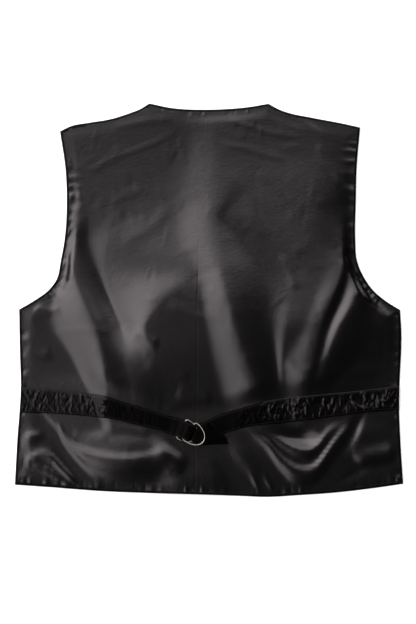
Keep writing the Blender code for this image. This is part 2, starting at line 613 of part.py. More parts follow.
def make_right_strap(back):
    lower, upper = sewn_part("right", back, SEWN_FROM["right"])
    incoming = turned(free_run(RIGHT_RUN) + fold_over(U_TURN, False)[1:-1])
    middle, normal = ribbon(incoming + free_run(TAIL))
    end = np.asarray(TAIL_END, float)[::-1]
    start = middle[-1, :, :2]
    for share, height in TAIL_FALL:
        points = start + (end - start) * share
        rest = back_top(points[:, 0], points[:, 1]).max()
        droop = TAIL_DROOP * share * (1 - smooth(*DROOP_Y, points[:, 1]))
        middle = np.vstack([middle, lay(points[:, 0], points[:, 1], rest + height - droop)[None]])
    up = np.tile(np.array([0.0, 0.0, 1.0]), (len(TAIL_FALL), STRAP_CELLS + 1, 1))
    normal = -normal if normal[0, 0, 2] < 0 else normal
    normal = np.vstack([normal, up * np.sign(normal[-1, 0, 2])])
    outer = np.vstack([upper, middle + normal * STRAP / 2])
    inner = np.vstack([lower, middle - normal * STRAP / 2])
    wall("strap_right", outer, inner, STRAP_COLOUR, 0.4)


def ring_path():
    """Middle line of a D ring: along its axis, across it."""
    corner = []
    for k in range(CORNER_STEPS + 1):
        angle = math.radians(90 * k / CORNER_STEPS)
        corner.append((RING_CORNER * (1 - math.sin(angle)),
                       RING_HALF_WIDTH - RING_CORNER * (1 - math.cos(angle))))
    path = [(a, -w) for a, w in corner] + corner[::-1]
    for k in range(ARC_STEPS + 1):
        angle = math.pi / 2 - math.pi * k / ARC_STEPS
        path.append((RING_LEG + (RING_DEPTH - RING_LEG) * math.cos(angle),
                     RING_HALF_WIDTH * math.sin(angle)))
    return path


def make_ring(name):
    x, y, turn_down, height = RINGS[name]
    turn = -math.radians(turn_down)
    level = float(back_top(np.array([BUCKLE[0]]), np.array([BUCKLE[1]]))[0]) + height
    path = np.asarray(ring_path())
    tangent = np.roll(path, -1, axis=0) - np.roll(path, 1, axis=0)
    tangent /= np.linalg.norm(tangent, axis=1, keepdims=True)
    points, faces = [], []
    for (a, w), (ta, tw) in zip(path, tangent):
        for k in range(RING_SIDES):
            angle = 2 * math.pi * k / RING_SIDES
            out = RING_WIRE * math.cos(angle)
            pa, pw = a + tw * out, w - ta * out
            points.append((x + pa * math.cos(turn) - pw * math.sin(turn),
                           y + pa * math.sin(turn) + pw * math.cos(turn),
                           level + RING_WIRE * math.sin(angle)))
    count = len(path)
    for i in range(count):
        here, there = i * RING_SIDES, (i + 1) % count * RING_SIDES
        for k in range(RING_SIDES):
            beside = (k + 1) % RING_SIDES
            a, b, c, d = here + k, here + beside, there + beside, there + k
            faces.append((c, b, a))
            faces.append((d, c, a))
    add_object(name, points, faces, STEEL_COLOUR, 0.25, 1.0)


def make_button(number, y):
    sides, rim = BUTTON_SIDES, BUTTON_RIM
    levels = ((BUTTON_RADIUS - rim, 0.0), (BUTTON_RADIUS, rim), (BUTTON_RADIUS, BUTTON_HEIGHT - rim),
              (BUTTON_RADIUS - rim, BUTTON_HEIGHT))
    points, faces = [], []
    for radius, z in levels:
        for k in range(sides):
            angle = 2 * math.pi * k / sides
            points.append((LAP_MIDDLE + radius * math.cos(angle), y + radius * math.sin(angle), z))
    for ring in range(len(levels) - 1):
        for k in range(sides):
            a, b = ring * sides + k, ring * sides + (k + 1) % sides
            faces.append((a, b, b + sides, a + sides))
    faces.append(tuple(range(sides))[::-1])
    faces.append(tuple(range(sides * (len(levels) - 1), sides * len(levels))))
    add_object("button_%d" % number, points, faces, BUTTON_COLOUR, 0.4)


def main():
    for piece in list(bpy.data.objects):
        bpy.data.objects.remove(piece, do_unlink=True)
    for side in ("left", "right"):
        make_front(side)
    left, right = make_back("left"), make_back("right")
    make_left_strap(left)
    make_right_strap(right)
    for name in RINGS:
        make_ring(name)
    for number, y in enumerate(BUTTON_Y, 1):
        make_button(number, y)


main()
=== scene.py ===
import math
import random

import bpy
import numpy as np
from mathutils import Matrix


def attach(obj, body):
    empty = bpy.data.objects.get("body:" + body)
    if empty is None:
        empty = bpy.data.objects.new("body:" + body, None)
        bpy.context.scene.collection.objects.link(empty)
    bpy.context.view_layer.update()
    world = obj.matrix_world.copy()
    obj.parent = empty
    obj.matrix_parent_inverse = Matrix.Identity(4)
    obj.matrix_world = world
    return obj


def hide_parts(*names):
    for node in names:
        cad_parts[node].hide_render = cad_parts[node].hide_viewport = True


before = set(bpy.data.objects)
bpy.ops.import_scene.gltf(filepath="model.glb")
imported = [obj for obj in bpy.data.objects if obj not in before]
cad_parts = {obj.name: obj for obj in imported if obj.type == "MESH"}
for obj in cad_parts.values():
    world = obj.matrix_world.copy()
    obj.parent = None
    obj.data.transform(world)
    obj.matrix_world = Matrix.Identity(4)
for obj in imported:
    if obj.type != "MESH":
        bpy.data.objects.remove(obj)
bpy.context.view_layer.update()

bl_info = {
    "name": "Satin-Backed Suede Vest",
    "version": (1, 0, 0),
    "blender": (4, 5, 0),
    "location": "3D Viewport > Sidebar > Vest",
    "description": "Makes the cloth, strap, rings, fronts, buttons and sewing of a vest laid back up",
    "category": "Object",
}

MM = 0.001
BODY = "root"

# ---------------------------------------------------------------- the cut, in mm
# +x is to the right and +y towards the shoulders; the back's outer face looks up.

SATIN = 1.2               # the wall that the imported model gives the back
SUEDE = 1.5
GAP = 0.3                 # between pieces that are sewn or lie together
HIDDEN_GAP = 0.45         # between the back and the fronts
AIR = 1.2                 # loft of the back over the fronts, away from the edges
AIR_TOP = 0.1             # the same between the shoulders
AIR_TOP_Y = (40.0, 150.0)
LOFT_REACH = 40.0
HUMP = 3.4                # the back's broad rise over the fronts' overlap
HUMP_X = (-250.0, -60.0, 130.0, 262.0)
HUMP_Y = (-40.0, 240.0)
SEAM_GAP = 0.05           # between the halves of the back
FOLD_FADE = (-2.0, 16.0)  # distances from the outline between which the folds rise
LOFT_FADE = 20.0
SETTLE = 0.4              # how softly the back settles on what lies below it
FRONT_INSET = 1.6         # the fronts stop short of the back's outline

# centre front
LAP_MIDDLE = -18.0
LAP = 30.0
V_POINT_Y = 5.0
LAP_EASE = (3.0, 48.0)
LAP_EASE_Y = (50.0, 90.0)
LAP_EASE_LEFT = (-92.0, -36.0)
PLACKET_X = (-78.0, -40.0, 2.0, 47.0)
PLACKET_Y = (-272.0, -248.0, 12.0, 52.0)
BUTTON_Y = (-12.0, -84.0, -156.0, -228.0)
BUTTON_HEIGHT = 1.6
# profile of a button from the outer face's middle: (radius, height over the floor)
BUTTON_PROFILE = (
    (0.0, 0.45), (3.6, 0.45), (4.2, 0.1), (4.8, 0.0), (6.6, 0.0), (7.2, 0.25), (7.5, 0.8), (7.2, 1.35),
    (6.4, BUTTON_HEIGHT), (0.0, BUTTON_HEIGHT),
)
LIFT_OVER_BUTTON = BUTTON_HEIGHT + GAP
LIFT_OVER_FRONT = SUEDE + GAP

# outline, rows of (x, y)
HEM = ((-275.2, -261.5), (-225.5, -265.0), (-154.6, -270.4), (-83.7, -273.4), (-12.8, -275.4),
       (44.0, -277.5), (79.4, -278.8), (129.1, -276.1), (171.6, -273.1), (242.5, -264.6),
       (275.2, -259.6))
NECK = ((-84.4, 278.9), (-55.3, 272.8), (-2.8, 270.1), (29.8, 271.3), (58.2, 274.1), (84.1, 278.5))
SHOULDER = {
    "left": (
        (-211.2, 239.4), (-197.2, 246.2), (-168.8, 251.8), (-140.4, 256.5), (-112.1, 265.3), (-97.9, 270.8),
        (-84.4, 278.9)),
    "right": (
        (84.1, 278.5), (100.7, 269.7), (114.9, 265.0), (143.3, 259.2), (200.0, 248.2), (214.2, 244.9)),
}
# side seams, rows of (y, x)
SIDE = {
    "left": ((-261.5, -275.2), (-198.2, -271.8), (-127.3, -266.7), (-70.6, -268.1), (-13.1, -269.1)),
    "right": (
        (-259.6, 275.2), (-198.2, 271.3), (-155.7, 269.6), (-127.3, 269.9), (-42.2, 272.6), (-13.8, 270.9)),
}
# armholes from the underarm to the shoulder tip, rows of (x, y)
ARMHOLE = {
    "left": (
        (-269.1, -13.1), (-246.2, 0.4), (-227.1, 14.5), (-216.4, 28.7), (-209.8, 57.1), (-204.8, 85.5),
        (-201.6, 142.2), (-203.3, 184.7), (-211.2, 239.4)),
    "right": (
        (270.9, -13.8), (248.5, 0.4), (232.3, 14.5), (221.8, 28.7), (209.5, 57.1), (207.4, 85.5),
        (208.2, 142.2), (209.2, 184.7), (214.2, 244.9)),
}
# centre back seam, rows of (y, x)
SEAM = ((-275.4, -19.9), (-199.5, -18.7), (-172.5, -18.2), (36.0, -15.6), (165.0, -10.5),
        (270.1, -4.0))

# cinch strap, rows of (x, y) from the side seam inwards, then on to the centre seam
STRAP_HIGH = {
    "left": (
        (-267.0, -123.0), (-225.5, -125.2), (-168.8, -132.3), (-147.5, -135.8), (-126.2, -142.9),
        (-97.9, -151.4), (-41.1, -168.4), (-18.2, -172.5)),
    "right": (
        (270.5, -120.9), (214.2, -128.0), (157.4, -133.7), (100.7, -139.4), (72.3, -145.0), (44.0, -153.3),
        (15.6, -162.5), (-18.2, -172.5)),
}
STRAP_LOW = {
    "left": (
        (-268.5, -159.2), (-225.5, -160.3), (-168.8, -164.6), (-126.2, -169.9), (-97.9, -177.0),
        (-69.5, -184.0), (-41.1, -194.0), (-18.7, -199.5)),
    "right": (
        (269.8, -155.3), (214.2, -159.6), (157.4, -167.2), (100.7, -174.1), (72.3, -176.9), (44.0, -181.5),
        (15.6, -189.5), (-18.7, -199.5)),
}

# ---------------------------------------------------------------- folds, in mm
# Crest, foot and valley lines of the big folds, left to right: rows of (y, x, height)
FOLD_LINES = {
    "left edge": ((265, -285, 0), (-270, -285, 0)),
    "left rise": (
        (262, -262, 0), (10, -262, 0.2), (-20, -254, 0.4), (-60, -250, -0.3), (-120, -246, -0.3),
        (-160, -246, 0), (-190, -246, 0)),
    "left foot": (
        (262, -222, 0), (120, -215, 0), (80, -214, 0.2), (40, -212, 0.4), (0, -226, 0.0), (-40, -224, -0.6),
        (-80, -198, -1.4), (-120, -178, -1.2), (-160, -160, 0.0), (-190, -150, 0)),
    "left crest": (
        (262, -208, 0), (200, -195, 0.2), (160, -190, 0.4), (120, -190, 1.0), (80, -196, 3.0),
        (40, -192, 5.6), (0, -178, 7.0), (-40, -160, 8.4), (-80, -150, 9.2), (-120, -145, 8.4),
        (-160, -140, 4.0), (-190, -138, 0)),
    "left valley": (
        (262, -190, 0), (200, -180, 0.2), (160, -175, 0.4), (120, -168, 0.6), (80, -170, -0.4),
        (40, -157, -1.4), (0, -141, -1.8), (-40, -126, 0.8), (-80, -118, 6.0), (-120, -114, 6.6),
        (-160, -112, 3.4), (-190, -110, 0)),
    "branch foot": (
        (262, -120, 0), (200, -120, 0.2), (160, -130, 0.4), (120, -135, 0.6), (80, -142, 0.9),
        (40, -148, -0.8), (0, -134, -0.6), (-40, -112, 2.8), (-80, -100, 6.4), (-120, -98, 6.2),
        (-160, -95, 3.0), (-190, -90, 0)),
    "branch crest": (
        (262, -70, 0), (200, -75, 0.2), (160, -75, 0.5), (120, -75, 1.2), (80, -72, 2.6), (40, -38, 5.6),
        (0, -64, 7.6), (-40, -89, 7.6), (-80, -70, 7.3), (-120, -62, 4.8), (-160, -60, 0.8), (-190, -60, 0)),
    "centre foot": (
        (262, -38, 0), (200, -40, 0.3), (160, -46, 1.0), (120, -48, 1.8), (80, -45, 3.4), (40, -18, 6.4),
        (0, -14, 7.8), (-40, -6, 8.2), (-80, 0, 7.2), (-120, 10, 4.4), (-160, 20, 0.8), (-190, 30, 0)),
    "centre crest": (
        (262, 10, 0.8), (200, 16, 2.5), (160, 20, 4.1), (120, 8, 5.8), (80, 12, 8.2), (40, 21, 11.4),
        (0, 31, 13.8), (-40, 41, 14.2), (-80, 54, 13.2), (-120, 68, 11.4), (-160, 80, 8.0), (-190, 84, 0)),
    "right valley": (
        (262, 45, 0.8), (200, 52, 2.2), (160, 60, 3.5), (120, 26, 4.8), (80, 50, 4.8), (40, 78, 5.4),
        (0, 88, 7.0), (-40, 88, 8.2), (-80, 93, 7.0), (-120, 98, 4.6), (-160, 106, 2.4), (-190, 102, 0)),
    "shelf": (
        (262, 110, 0.2), (200, 110, 1.9), (160, 115, 3.6), (120, 110, 4.8), (80, 125, 5.8), (40, 128, 6.8),
        (0, 118, 8.4), (-40, 110, 10.1), (-80, 104, 8.4), (-120, 104, 4.9), (-160, 106, 1.5), (-190, 106, 0)),
    "right foot": (
        (262, 150, 0), (200, 150, 1.6), (160, 145, 3.5), (120, 150, 4.8), (80, 160, 5.8), (40, 160, 7.8),
        (0, 146, 9.4), (-40, 130, 10.5), (-80, 110, 8.7), (-120, 108, 5.2), (-160, 110, 1.6), (-190, 110, 0)),
    "right crest": (
        (262, 180, 0), (200, 180, 0.9), (160, 180, 2.4), (120, 174, 3.4), (80, 184, 5.4), (40, 188, 9.4),
        (0, 173, 12.0), (-40, 157, 12.4), (-80, 149, 12.6), (-120, 140, 9.6), (-160, 136, 3.6),
        (-190, 136, 0)),
    "right groove": (
        (262, 190, 0), (200, 190, 0.5), (160, 192, 1.2), (120, 190, 1.8), (80, 196, 3.8), (40, 197, 6.8),
        (0, 186, 8.6), (-40, 168, 10.6), (-80, 157, 11.4), (-120, 148, 8.6), (-160, 142, 3.0),
        (-190, 142, 0)),
    "second crest": (
        (262, 200, 0), (200, 200, 0.2), (160, 202, 0.4), (120, 203, 0.6), (80, 204, 2.4), (40, 208, 6.8),
        (0, 204, 11.4), (-40, 184, 13.2), (-80, 169, 12.8), (-120, 155, 8.2), (-160, 150, 2.6),
        (-190, 150, 0)),
    "under the arm": (
        (262, 212, 0), (200, 210, 0), (160, 212, 0), (120, 212, 0), (80, 214, 0.4), (40, 224, 0.8),
        (0, 234, 3.6), (-40, 236, 4.4), (-80, 215, 4.0), (-120, 180, 3.0), (-160, 166, 0.8), (-190, 166, 0)),
    "right edge": ((265, 285, 0), (-270, 285, 0)),
}
# Rows down a fold: (y, x, height, width towards -x, width towards +x)
DOWN_FOLDS = {
    "diagonal left": (20, (
        (-150, -250, 0, 16, 12), (-170, -234, -2.4, 24, 14), (-190, -218, -3.6, 28, 16),
        (-210, -204, -3.8, 28, 18), (-235, -188, -3.4, 26, 20), (-262, -170, -0.8, 20, 20))),
    "diagonal right": (14, (
        (-152, 222, 0, 14, 12), (-170, 212, -2.0, 16, 12), (-192, 203, -2.2, 18, 14),
        (-212, 192, -1.0, 18, 14), (-228, 184, 0, 18, 14))),
    "low diagonal right": (12, (
        (-228, 230, 0, 12, 12), (-242, 214, -1.8, 16, 12), (-256, 192, -1.6, 16, 12), (-268, 178, 0, 12, 10))),
    "buckle side": (16, (
        (-184, -44, 0, 36, 22), (-200, -46, 2.6, 44, 22), (-222, -46, 4.0, 46, 24),
        (-242, -46, 2.8, 44, 24), (-262, -46, 0, 40, 24))),
    "hem crease one": (8, (
        (-242, 56, 0, 7, 6), (-252, 63, 0.9, 7, 5), (-266, 70, 0.9, 7, 5), (-276, 73, 0, 7, 5))),
    "hem crease two": (8, (
        (-244, 76, 0, 7, 6), (-254, 82, 0.9, 7, 5), (-268, 90, 0.8, 7, 5), (-276, 93, 0, 7, 5))),
    "low middle": (16, (
        (-196, 26, 0, 20, 26), (-215, 44, 1.0, 24, 22), (-240, 62, 1.0, 24, 20), (-262, 76, 0, 20, 18))),
}
# Rows across a fold: (x, y, height, width towards -y, width towards +y)
ACROSS_FOLDS = {
    "outer swag right": (12, (
        (50, -180, 0, 12, 10), (66, -190, 1.2, 14, 12), (84, -205, 2.2, 16, 14), (100, -225, 2.6, 20, 15),
        (118, -239, 3.6, 28, 14), (136, -244, 3.6, 28, 14), (152, -238, 3.6, 26, 15),
        (168, -218, 3.2, 24, 16), (180, -202, 2.2, 20, 16), (196, -184, 0.6, 14, 12))),
    "inner swag right": (10, (
        (62, -178, 0, 8, 8), (84, -190, 1.1, 9, 10), (106, -204, 2.0, 11, 14), (126, -213, 3.0, 12, 14),
        (144, -214, 3.0, 12, 14), (158, -204, 2.0, 12, 16), (170, -188, 1.2, 12, 14), (186, -176, 0, 10, 10))),
    "swag left": (16, (
        (-214, -176, 0, 12, 8), (-206, -194, 2.0, 12, 10), (-192, -209, 2.8, 16, 12),
        (-166, -221, 3.4, 28, 14), (-135, -227, 3.6, 42, 14), (-104, -228, 3.4, 42, 16),
        (-76, -224, 2.4, 36, 20), (-48, -206, 0.4, 24, 18), (-30, -196, 0, 20, 16))),
    "outer loop": (8, (
        (-266, -234, 0, 7, 7), (-256, -227, 1.6, 6, 7), (-240, -221, 2.2, 6, 9), (-224, -224, 2.2, 7, 9),
        (-210, -237, 2.2, 9, 9), (-195, -252, 1.9, 9, 9), (-180, -266, 0.2, 8, 8))),
    "inner loop": (8, (
        (-266, -240, 0, 6, 6), (-256, -234, 1.0, 7, 5), (-238, -237, 1.5, 9, 5), (-220, -247, 1.5, 9, 6),
        (-202, -258, 1.0, 8, 6), (-190, -266, 0, 6, 6))),
    "side patch left": (10, (
        (-276, -196, 0, 12, 10), (-264, -196, 1.8, 14, 12), (-250, -194, 1.8, 14, 12),
        (-238, -192, 0.6, 12, 10), (-232, -192, 0, 10, 10))),
    "side patch right": (12, (
        (202, -222, 0, 12, 20), (218, -226, 3.0, 14, 26), (240, -222, 3.0, 14, 26),
        (258, -218, 2.4, 14, 24), (276, -212, 0.4, 12, 20))),
}
# Pools and swellings: (x, y, half length, half width, turn in degrees, height)
POOLS = {
    "under the strap right": (128, -192, 36, 17, -10, -4.4),
    "below the strap left": (-116, -216, 90, 46, 0, 3.4),
    "above the strap right": (190, -139, 84, 20, 7, -2.6),
    "below the strap right": (196, -196, 70, 40, 0, 2.4),
}
# Faint pulls in the cloth: points, height, width
PULLS = (
    (((-196, 189), (-162, 186), (-148, 196), (-112, 210), (-82, 221), (-46, 240)), 0.18, 3.6),
    (((-140, 247), (-96, 252), (-48, 259)), 0.16, 6.0),
    (((-142, 137), (-118, 146), (-92, 158)), 0.10, 5.0),
    (((-128, 80), (-96, 95), (-68, 117), (-56, 140)), 0.24, 9.0),
    (((18, 258), (58, 246), (98, 235), (138, 232)), 0.18, 4.0),
    (((14, 220), (48, 216), (80, 207), (116, 197)), 0.18, 4.0),
    (((88, 270), (128, 259), (152, 241), (166, 214), (176, 188), (188, 164), (202, 150)), 0.30, 5.0),
    (((154, 226), (160, 200), (172, 176), (190, 156)), 0.30, 5.0),
    (((22, 186), (46, 164), (60, 138), (64, 108), (88, 78)), 0.22, 10.0),
    (((92, 112), (112, 98), (124, 80), (120, 56)), 0.08, 9.0),
    (((100, 66), (116, 40), (122, 12)), 0.35, 7.0),
    (((-225, -47), (-180, -42), (-133, -45)), 0.16, 4.5),
    (((-108, -44), (-90, -54), (-70, -63)), 0.80, 7.0),
    (((-60, -4), (-20, -22), (14, -28)), 0.25, 6.0),
    (((-92, -92), (-60, -104), (-24, -112)), 0.30, 8.0),
    (((-48, -128), (-22, -138), (6, -140)), 0.70, 9.0),
    (((106, -84), (120, -96), (134, -100), (152, -92), (166, -76)), 0.55, 5.0),
    (((204, 18), (222, -4), (240, -14)), 0.50, 7.0),
    (((196, -54), (222, -70), (250, -74)), 0.50, 8.0),
    (((178, -92), (208, -100), (240, -98)), 0.50, 8.0),
    (((-250, -8), (-228, -16), (-208, -10)), 0.60, 7.0),
    (((-262, -66), (-238, -78), (-222, -74)), 0.40, 7.0),
    (((-150, -176), (-110, -184), (-80, -190)), 0.50, 7.0),
    (((-196, -186), (-170, -196), (-140, -192)), 0.40, 7.0),
)
# Gathers along the sewn edges: seed, count, then ranges of the place round the outline,
# reach from the edge, half width and height
GATHERS = (
    (11, 90, (0, 551), (8, 18), (2.4, 5.5), (-0.7, 0.6)),
    (12, 34, (551, 797), (8, 22), (2.5, 6.0), (-0.9, 0.6)),
    (13, 70, (830, 1060), (12, 34), (2.0, 5.0), (-1.0, 0.9)),
    (14, 16, (1230, 1400), (5, 12), (2.0, 4.0), (-0.35, 0.3)),
    (15, 64, (1560, 1760), (10, 30), (2.0, 5.0), (-0.9, 0.8)),
    (16, 36, (1835, 2085), (8, 22), (2.5, 6.0), (-0.9, 0.6)),
)
# Uneven places all over: seed, count, then ranges of x, y, half length, half width, turn, height
MOTTLES = (31, 420, (-270, 270), (-270, 262), (10, 26), (5, 12), (0, 180), (-0.14, 0.14))
MOTTLE_REACH = 26.0
STRAP_PRESS = 0.55        # share of a fold's height lost where the strap holds the back down
PRESS_REACH = 28.0

# fine shape of the back: depth first, then distances from the edge or the seam
EDGE_ROLL, EDGE_ROLL_REACH = 0.5, 2.2
HEM_ROLL, HEM_ROLL_FADE, HEM_ROLL_Y = 0.7, (1.0, 12.0), -255.0
SEAM_DIP, SEAM_DIP_REACH, SEAM_DIP_Y = 0.06, 2.0, (20.0, 120.0)
FINE_FADE = (2.0, 14.0)
GATHER_RISE, GATHER_FULL = 3.0, 4.0
DEEPEST, DEEPEST_BLEND = -0.9, 0.3
TURNED_EDGE = 3.6         # width of the edge with a finish of its own

# ---------------------------------------------------------------- buckle, in mm
RING_WIRE = 1.0
RING_HALF_WIDTH = 14.9
RING_DEPTH = 25.5
RING_LEG = 4.3
RING_CORNER = 3.2
BUCKLE = (-15.0, -187.0)
BUCKLE_FADE = (38.0, 64.0)
BUCKLE_SQUASH = 1.3
# (x, y, turn in degrees below +x, height over the back)
RINGS = {
    "ring_lower": (-39.1, -181.6, 29.0, 3.4),
    "ring_upper": (-28.1, -184.2, 40.0, 8.0),
}
# free strap: (x, y, heading, half width, height of its middle over the back)
LEFT_LOOP = (
    (-48.6, -178.4, -19.5, 12.4, 5.0), (-43.5, -180.2, -20, 12.3, 5.5), (-39.2, -181.7, -20.5, 12.2, 6.9),
    (-36.4, -182.8, -21.5, 12.1, 8.5), (-34.6, -183.5, -22.5, 12.0, 9.6), (-32.6, -184.3, -23.5, 12.0, 10.4),
    (-29.4, -185.6, -25.5, 12.0, 10.6), (-26.4, -186.9, -29, 12.0, 10.5),
)
LOOP_NOSE = (-26.0, -187.1, -30.0, 12.0, 8.1, 2.45)   # x, y, heading, half width, height, radius
LEFT_RETURN = (
    (-26.6, -186.8, -29, 12.0, 5.6), (-29.4, -185.6, -26, 12.0, 5.5), (-31.4, -184.8, -24, 12.0, 4.6),
    (-33.4, -184.0, -22.5, 12.0, 2.8), (-35.4, -183.2, -21.5, 12.0, 1.3), (-38.2, -182.1, -20.5, 12.1, 1.1),
    (-44.0, -180.0, -20, 12.1, 1.1), (-52.0, -177.2, -19, 12.1, 1.1), (-60.0, -174.5, -18.7, 12.1, 1.1),
)
RIGHT_RUN = (
    (37.0, -169.6, -164, 13.9, 1.1), (24.0, -173.6, -161, 13.7, 1.1), (12.0, -178.2, -158, 13.4, 1.1),
    (2.0, -182.6, -158, 13.0, 1.1), (-7.0, -186.3, -161, 12.4, 1.1), (-15.5, -188.7, -172, 11.4, 1.1),
    (-22.0, -189.3, -190, 10.4, 1.1), (-26.6, -188.4, -201, 10.0, 1.1),
)
U_TURN = (-27.3, -188.1, -202.0, 10.0, 2.35, 1.25)
TAIL = (
    (-26.6, -188.4, -22, 10.0, 3.6), (-24.6, -189.1, -22, 9.8, 3.8), (-22.8, -189.8, -22, 9.2, 4.5),
    (-21.6, -190.2, -21, 9.0, 5.5), (-19.8, -190.5, -17, 9.8, 5.8), (-16.8, -190.9, -9, 12.0, 5.8),
    (-13.0, -190.9, 0, 13.6, 5.8), (-7.0, -190.2, 5, 14.8, 5.8), (-3.0, -189.2, 3, 15.1, 5.7),
)
# tail end, top edge to tip: (x, y)
TAIL_END = ((6.4, -173.7), (13.0, -180.3), (19.0, -187.6), (24.0, -195.4), (27.9, -203.3))
TAIL_FALL = ((0.3, 4.7), (0.55, 3.6), (0.8, 3.1), (1.0, 3.0))
TAIL_DROOP = 1.5
DROOP_Y = (-203.0, -191.0)
LEFT_LIFT = 3.2
LEFT_LIFT_X = (-150.0, -56.0)
SEWN_END = {"left": -56.0, "right": 52.0}   # where the stretch over the panel ends
STRAP_THICK = 1.6
STRAP_EDGE = 0.12         # half thickness at the strap's edges
STRAP_GROOVE = (0.28, 0.84, 0.045)          # depth, place and width across, in half widths
STRAP_ROW = 0.9
ACROSS = np.linspace(-1, 1, 29)
SHADED_STRAP = (-148.0, 78.0)                 # stretch of the strap with painted shade from a duller satin copy, between wavy ends
SHADED_STRAP_WAVES = ((3.0, 0.42, 0.0), (2.0, 1.1, 1.0))   # size, rate along y, start
# Crinkles: seed, count, then ranges of x, place across, half length, half width, turn, height
CRINKLES = {
    "left": (5, 230, (-266, -60), (-0.95, 0.95), (3, 13), (0.9, 2.8), (60, 150), (-0.6, 0.6)),
    "right": (8, 380, (30, 268), (-0.95, 0.95), (4, 14), (1.2, 4.2), (50, 160), (-1.0, 1.0)),
}
CRINKLE_FADE = {"left": (-60.0, -110.0), "right": (20.0, 70.0)}
CRINKLE_SPREAD = 14.0
CRINKLE_DEPTH = 0.35      # deepest crinkle, in half thicknesses
STITCH_INSET = 3.3
STITCH_LIFT = 0.05
STITCH_SHARE = (0.004, 0.996)               # the stretch of an edge that is sewn
STITCH_COLUMNS = (2, -3)  # rows of stitches, as places in ACROSS
STITCH_PATHS = []         # filled by the strap, used by the sewing

# ---------------------------------------------------------------- looks
# colour, roughness, specular level, strength of the weave
SATINS = {
    "black satin": ((0.0009, 0.0008, 0.0009), 0.24, 0.5, 0.06),
    "turned satin edge": ((0.001, 0.0009, 0.001), 0.4, 0.05, 0.1),
    "strap satin": ((0.0008, 0.0006, 0.0006), 0.24, 0.15, 0.06),
    # painted shade: a duller, less glossy copy of the strap satin for the strap's middle stretch
    "free strap satin": ((0.0008, 0.0006, 0.0006), 0.38, 0.02, 0.1),
}
SATIN_TINT = (1.0, 0.92, 0.96, 1.0)
# colour, roughness, metallic, then the rubbed marks: scale, detail, roughness, range
HARD = {
    "nickel plate": ((0.36, 0.34, 0.3), 0.16, 1.0, 900.0, 4.0, 0.6, (0.10, 0.24)),
    "button plastic": ((0.012, 0.012, 0.012), 0.35, 0.0, 600.0, 3.0, 0.5, (0.28, 0.45)),
}
# heading in the picture, first and last angle off the vertical, half spread, share of the radiance
LIGHTS = {
    "left window": (174.3, 12.0, 56.0, 42.0, 1.0),
    "top window": (111.0, 12.0, 56.0, 42.0, 1.0),
    "ceiling": (0.0, -60.0, 60.0, 60.0, 0.02),
}
CAMERA_XY = (-0.0014, -0.0167)
VIEW_HEIGHT = 0.885       # metres of the ground from top to bottom of the picture
SENSOR = 36.0
FLOOR_HALF, FLOOR_DROP, FLOOR_GLOW = 30.0, 0.0003, 0.4


# ---------------------------------------------------------------- shape maths, in mm

def smooth(low, high, value):
    """0 below low, 1 above high, eased between."""
    t = np.clip((np.asarray(value, float) - low) / (high - low), 0.0, 1.0)
    return t * t * (3.0 - 2.0 * t)


def plateau(value, rise_low, rise_high, fall_low, fall_high):
    """1 between the two pairs, eased to 0 outside them."""
    return smooth(rise_low, rise_high, value) * (1 - smooth(fall_low, fall_high, value))


def eased(s, run, a, b, slope_a, slope_b):
    """Value at the share s of a run from a to b, leaving and arriving at those slopes."""
    return (a * (2 * s**3 - 3 * s**2 + 1) + slope_a * run * (s**3 - 2 * s**2 + s)
            + b * (3 * s**2 - 2 * s**3) + slope_b * run * (s**3 - s**2))


def stations(rows, at):
    """Values at a place on a table whose first column is that place, smooth between rows."""
    table = np.asarray(sorted(rows), float)
    place, value = table[:, 0], table[:, 1:]
    slope = np.gradient(value, place, axis=0)
    at = np.clip(np.asarray(at, float), place[0], place[-1])
    i = np.clip(np.searchsorted(place, at, side="right") - 1, 0, len(place) - 2)
    run = (place[i + 1] - place[i])[..., None]
    return eased((at - place[i])[..., None] / run, run, value[i], value[i + 1], slope[i], slope[i + 1])


def y_at(rows, x):
    """The second column of a table of two, at a place in its first."""
    return stations(rows, x)[..., 0]


def along(points, t):
    """Point at the share t of a path's length."""
    path = np.asarray(points, float)
    length = np.concatenate([[0], np.cumsum(np.linalg.norm(np.diff(path, axis=0), axis=1))])
    return stations(np.column_stack([length / length[-1], path]).tolist(), t)


def fold_height(u, v, rows, taper):
    """Height of one fold: u runs along it and v across it."""
    first, last = min(r[0] for r in rows), max(r[0] for r in rows)
    middle, height, width_low, width_high = np.moveaxis(stations(rows, u), -1, 0)
    offset = v - middle
    width = np.where(offset < 0, width_low, width_high)
    q = np.clip(np.abs(offset) / np.maximum(width, 1.0), 0, 1)
    past = np.clip(np.maximum(first - u, u - last) / taper, 0, 1)
    return height * (1 - q * q)**3 * (1 - past * past)**2


def between_lines(x, y, least=3.0):
    """Height of the big folds: smooth across from line to line, flat-topped at crests and valleys."""
    shape = np.shape(x)
    x, y = np.ravel(x), np.ravel(y)
    lines = [stations(rows, y) for rows in FOLD_LINES.values()]
    place = np.stack([line[:, 0] for line in lines], axis=1)
    height = np.stack([line[:, 1] for line in lines], axis=1)
    for k in range(1, place.shape[1]):
        place[:, k] = np.maximum(place[:, k], place[:, k - 1] + least)
    run = np.diff(place, axis=1)
    slope = np.diff(height, axis=1) / run
    at_line = np.zeros(height.shape)
    a, b = slope[:, :-1], slope[:, 1:]
    weight_a, weight_b = run[:, :-1] + 2 * run[:, 1:], 2 * run[:, :-1] + run[:, 1:]
    same = a * b > 0
    mean = (weight_a + weight_b) / (weight_a / np.where(same, b, 1) + weight_b / np.where(same, a, 1))
    at_line[:, 1:-1] = np.where(same, mean, 0)
    k = np.clip((place <= x[:, None]).sum(axis=1) - 1, 0, place.shape[1] - 2)
    n = np.arange(len(x))
    share = np.clip((x - place[n, k]) / run[n, k], 0, 1)
    return eased(share, run[n, k], height[n, k], height[n, k + 1], at_line[n, k],
                 at_line[n, k + 1]).reshape(shape)


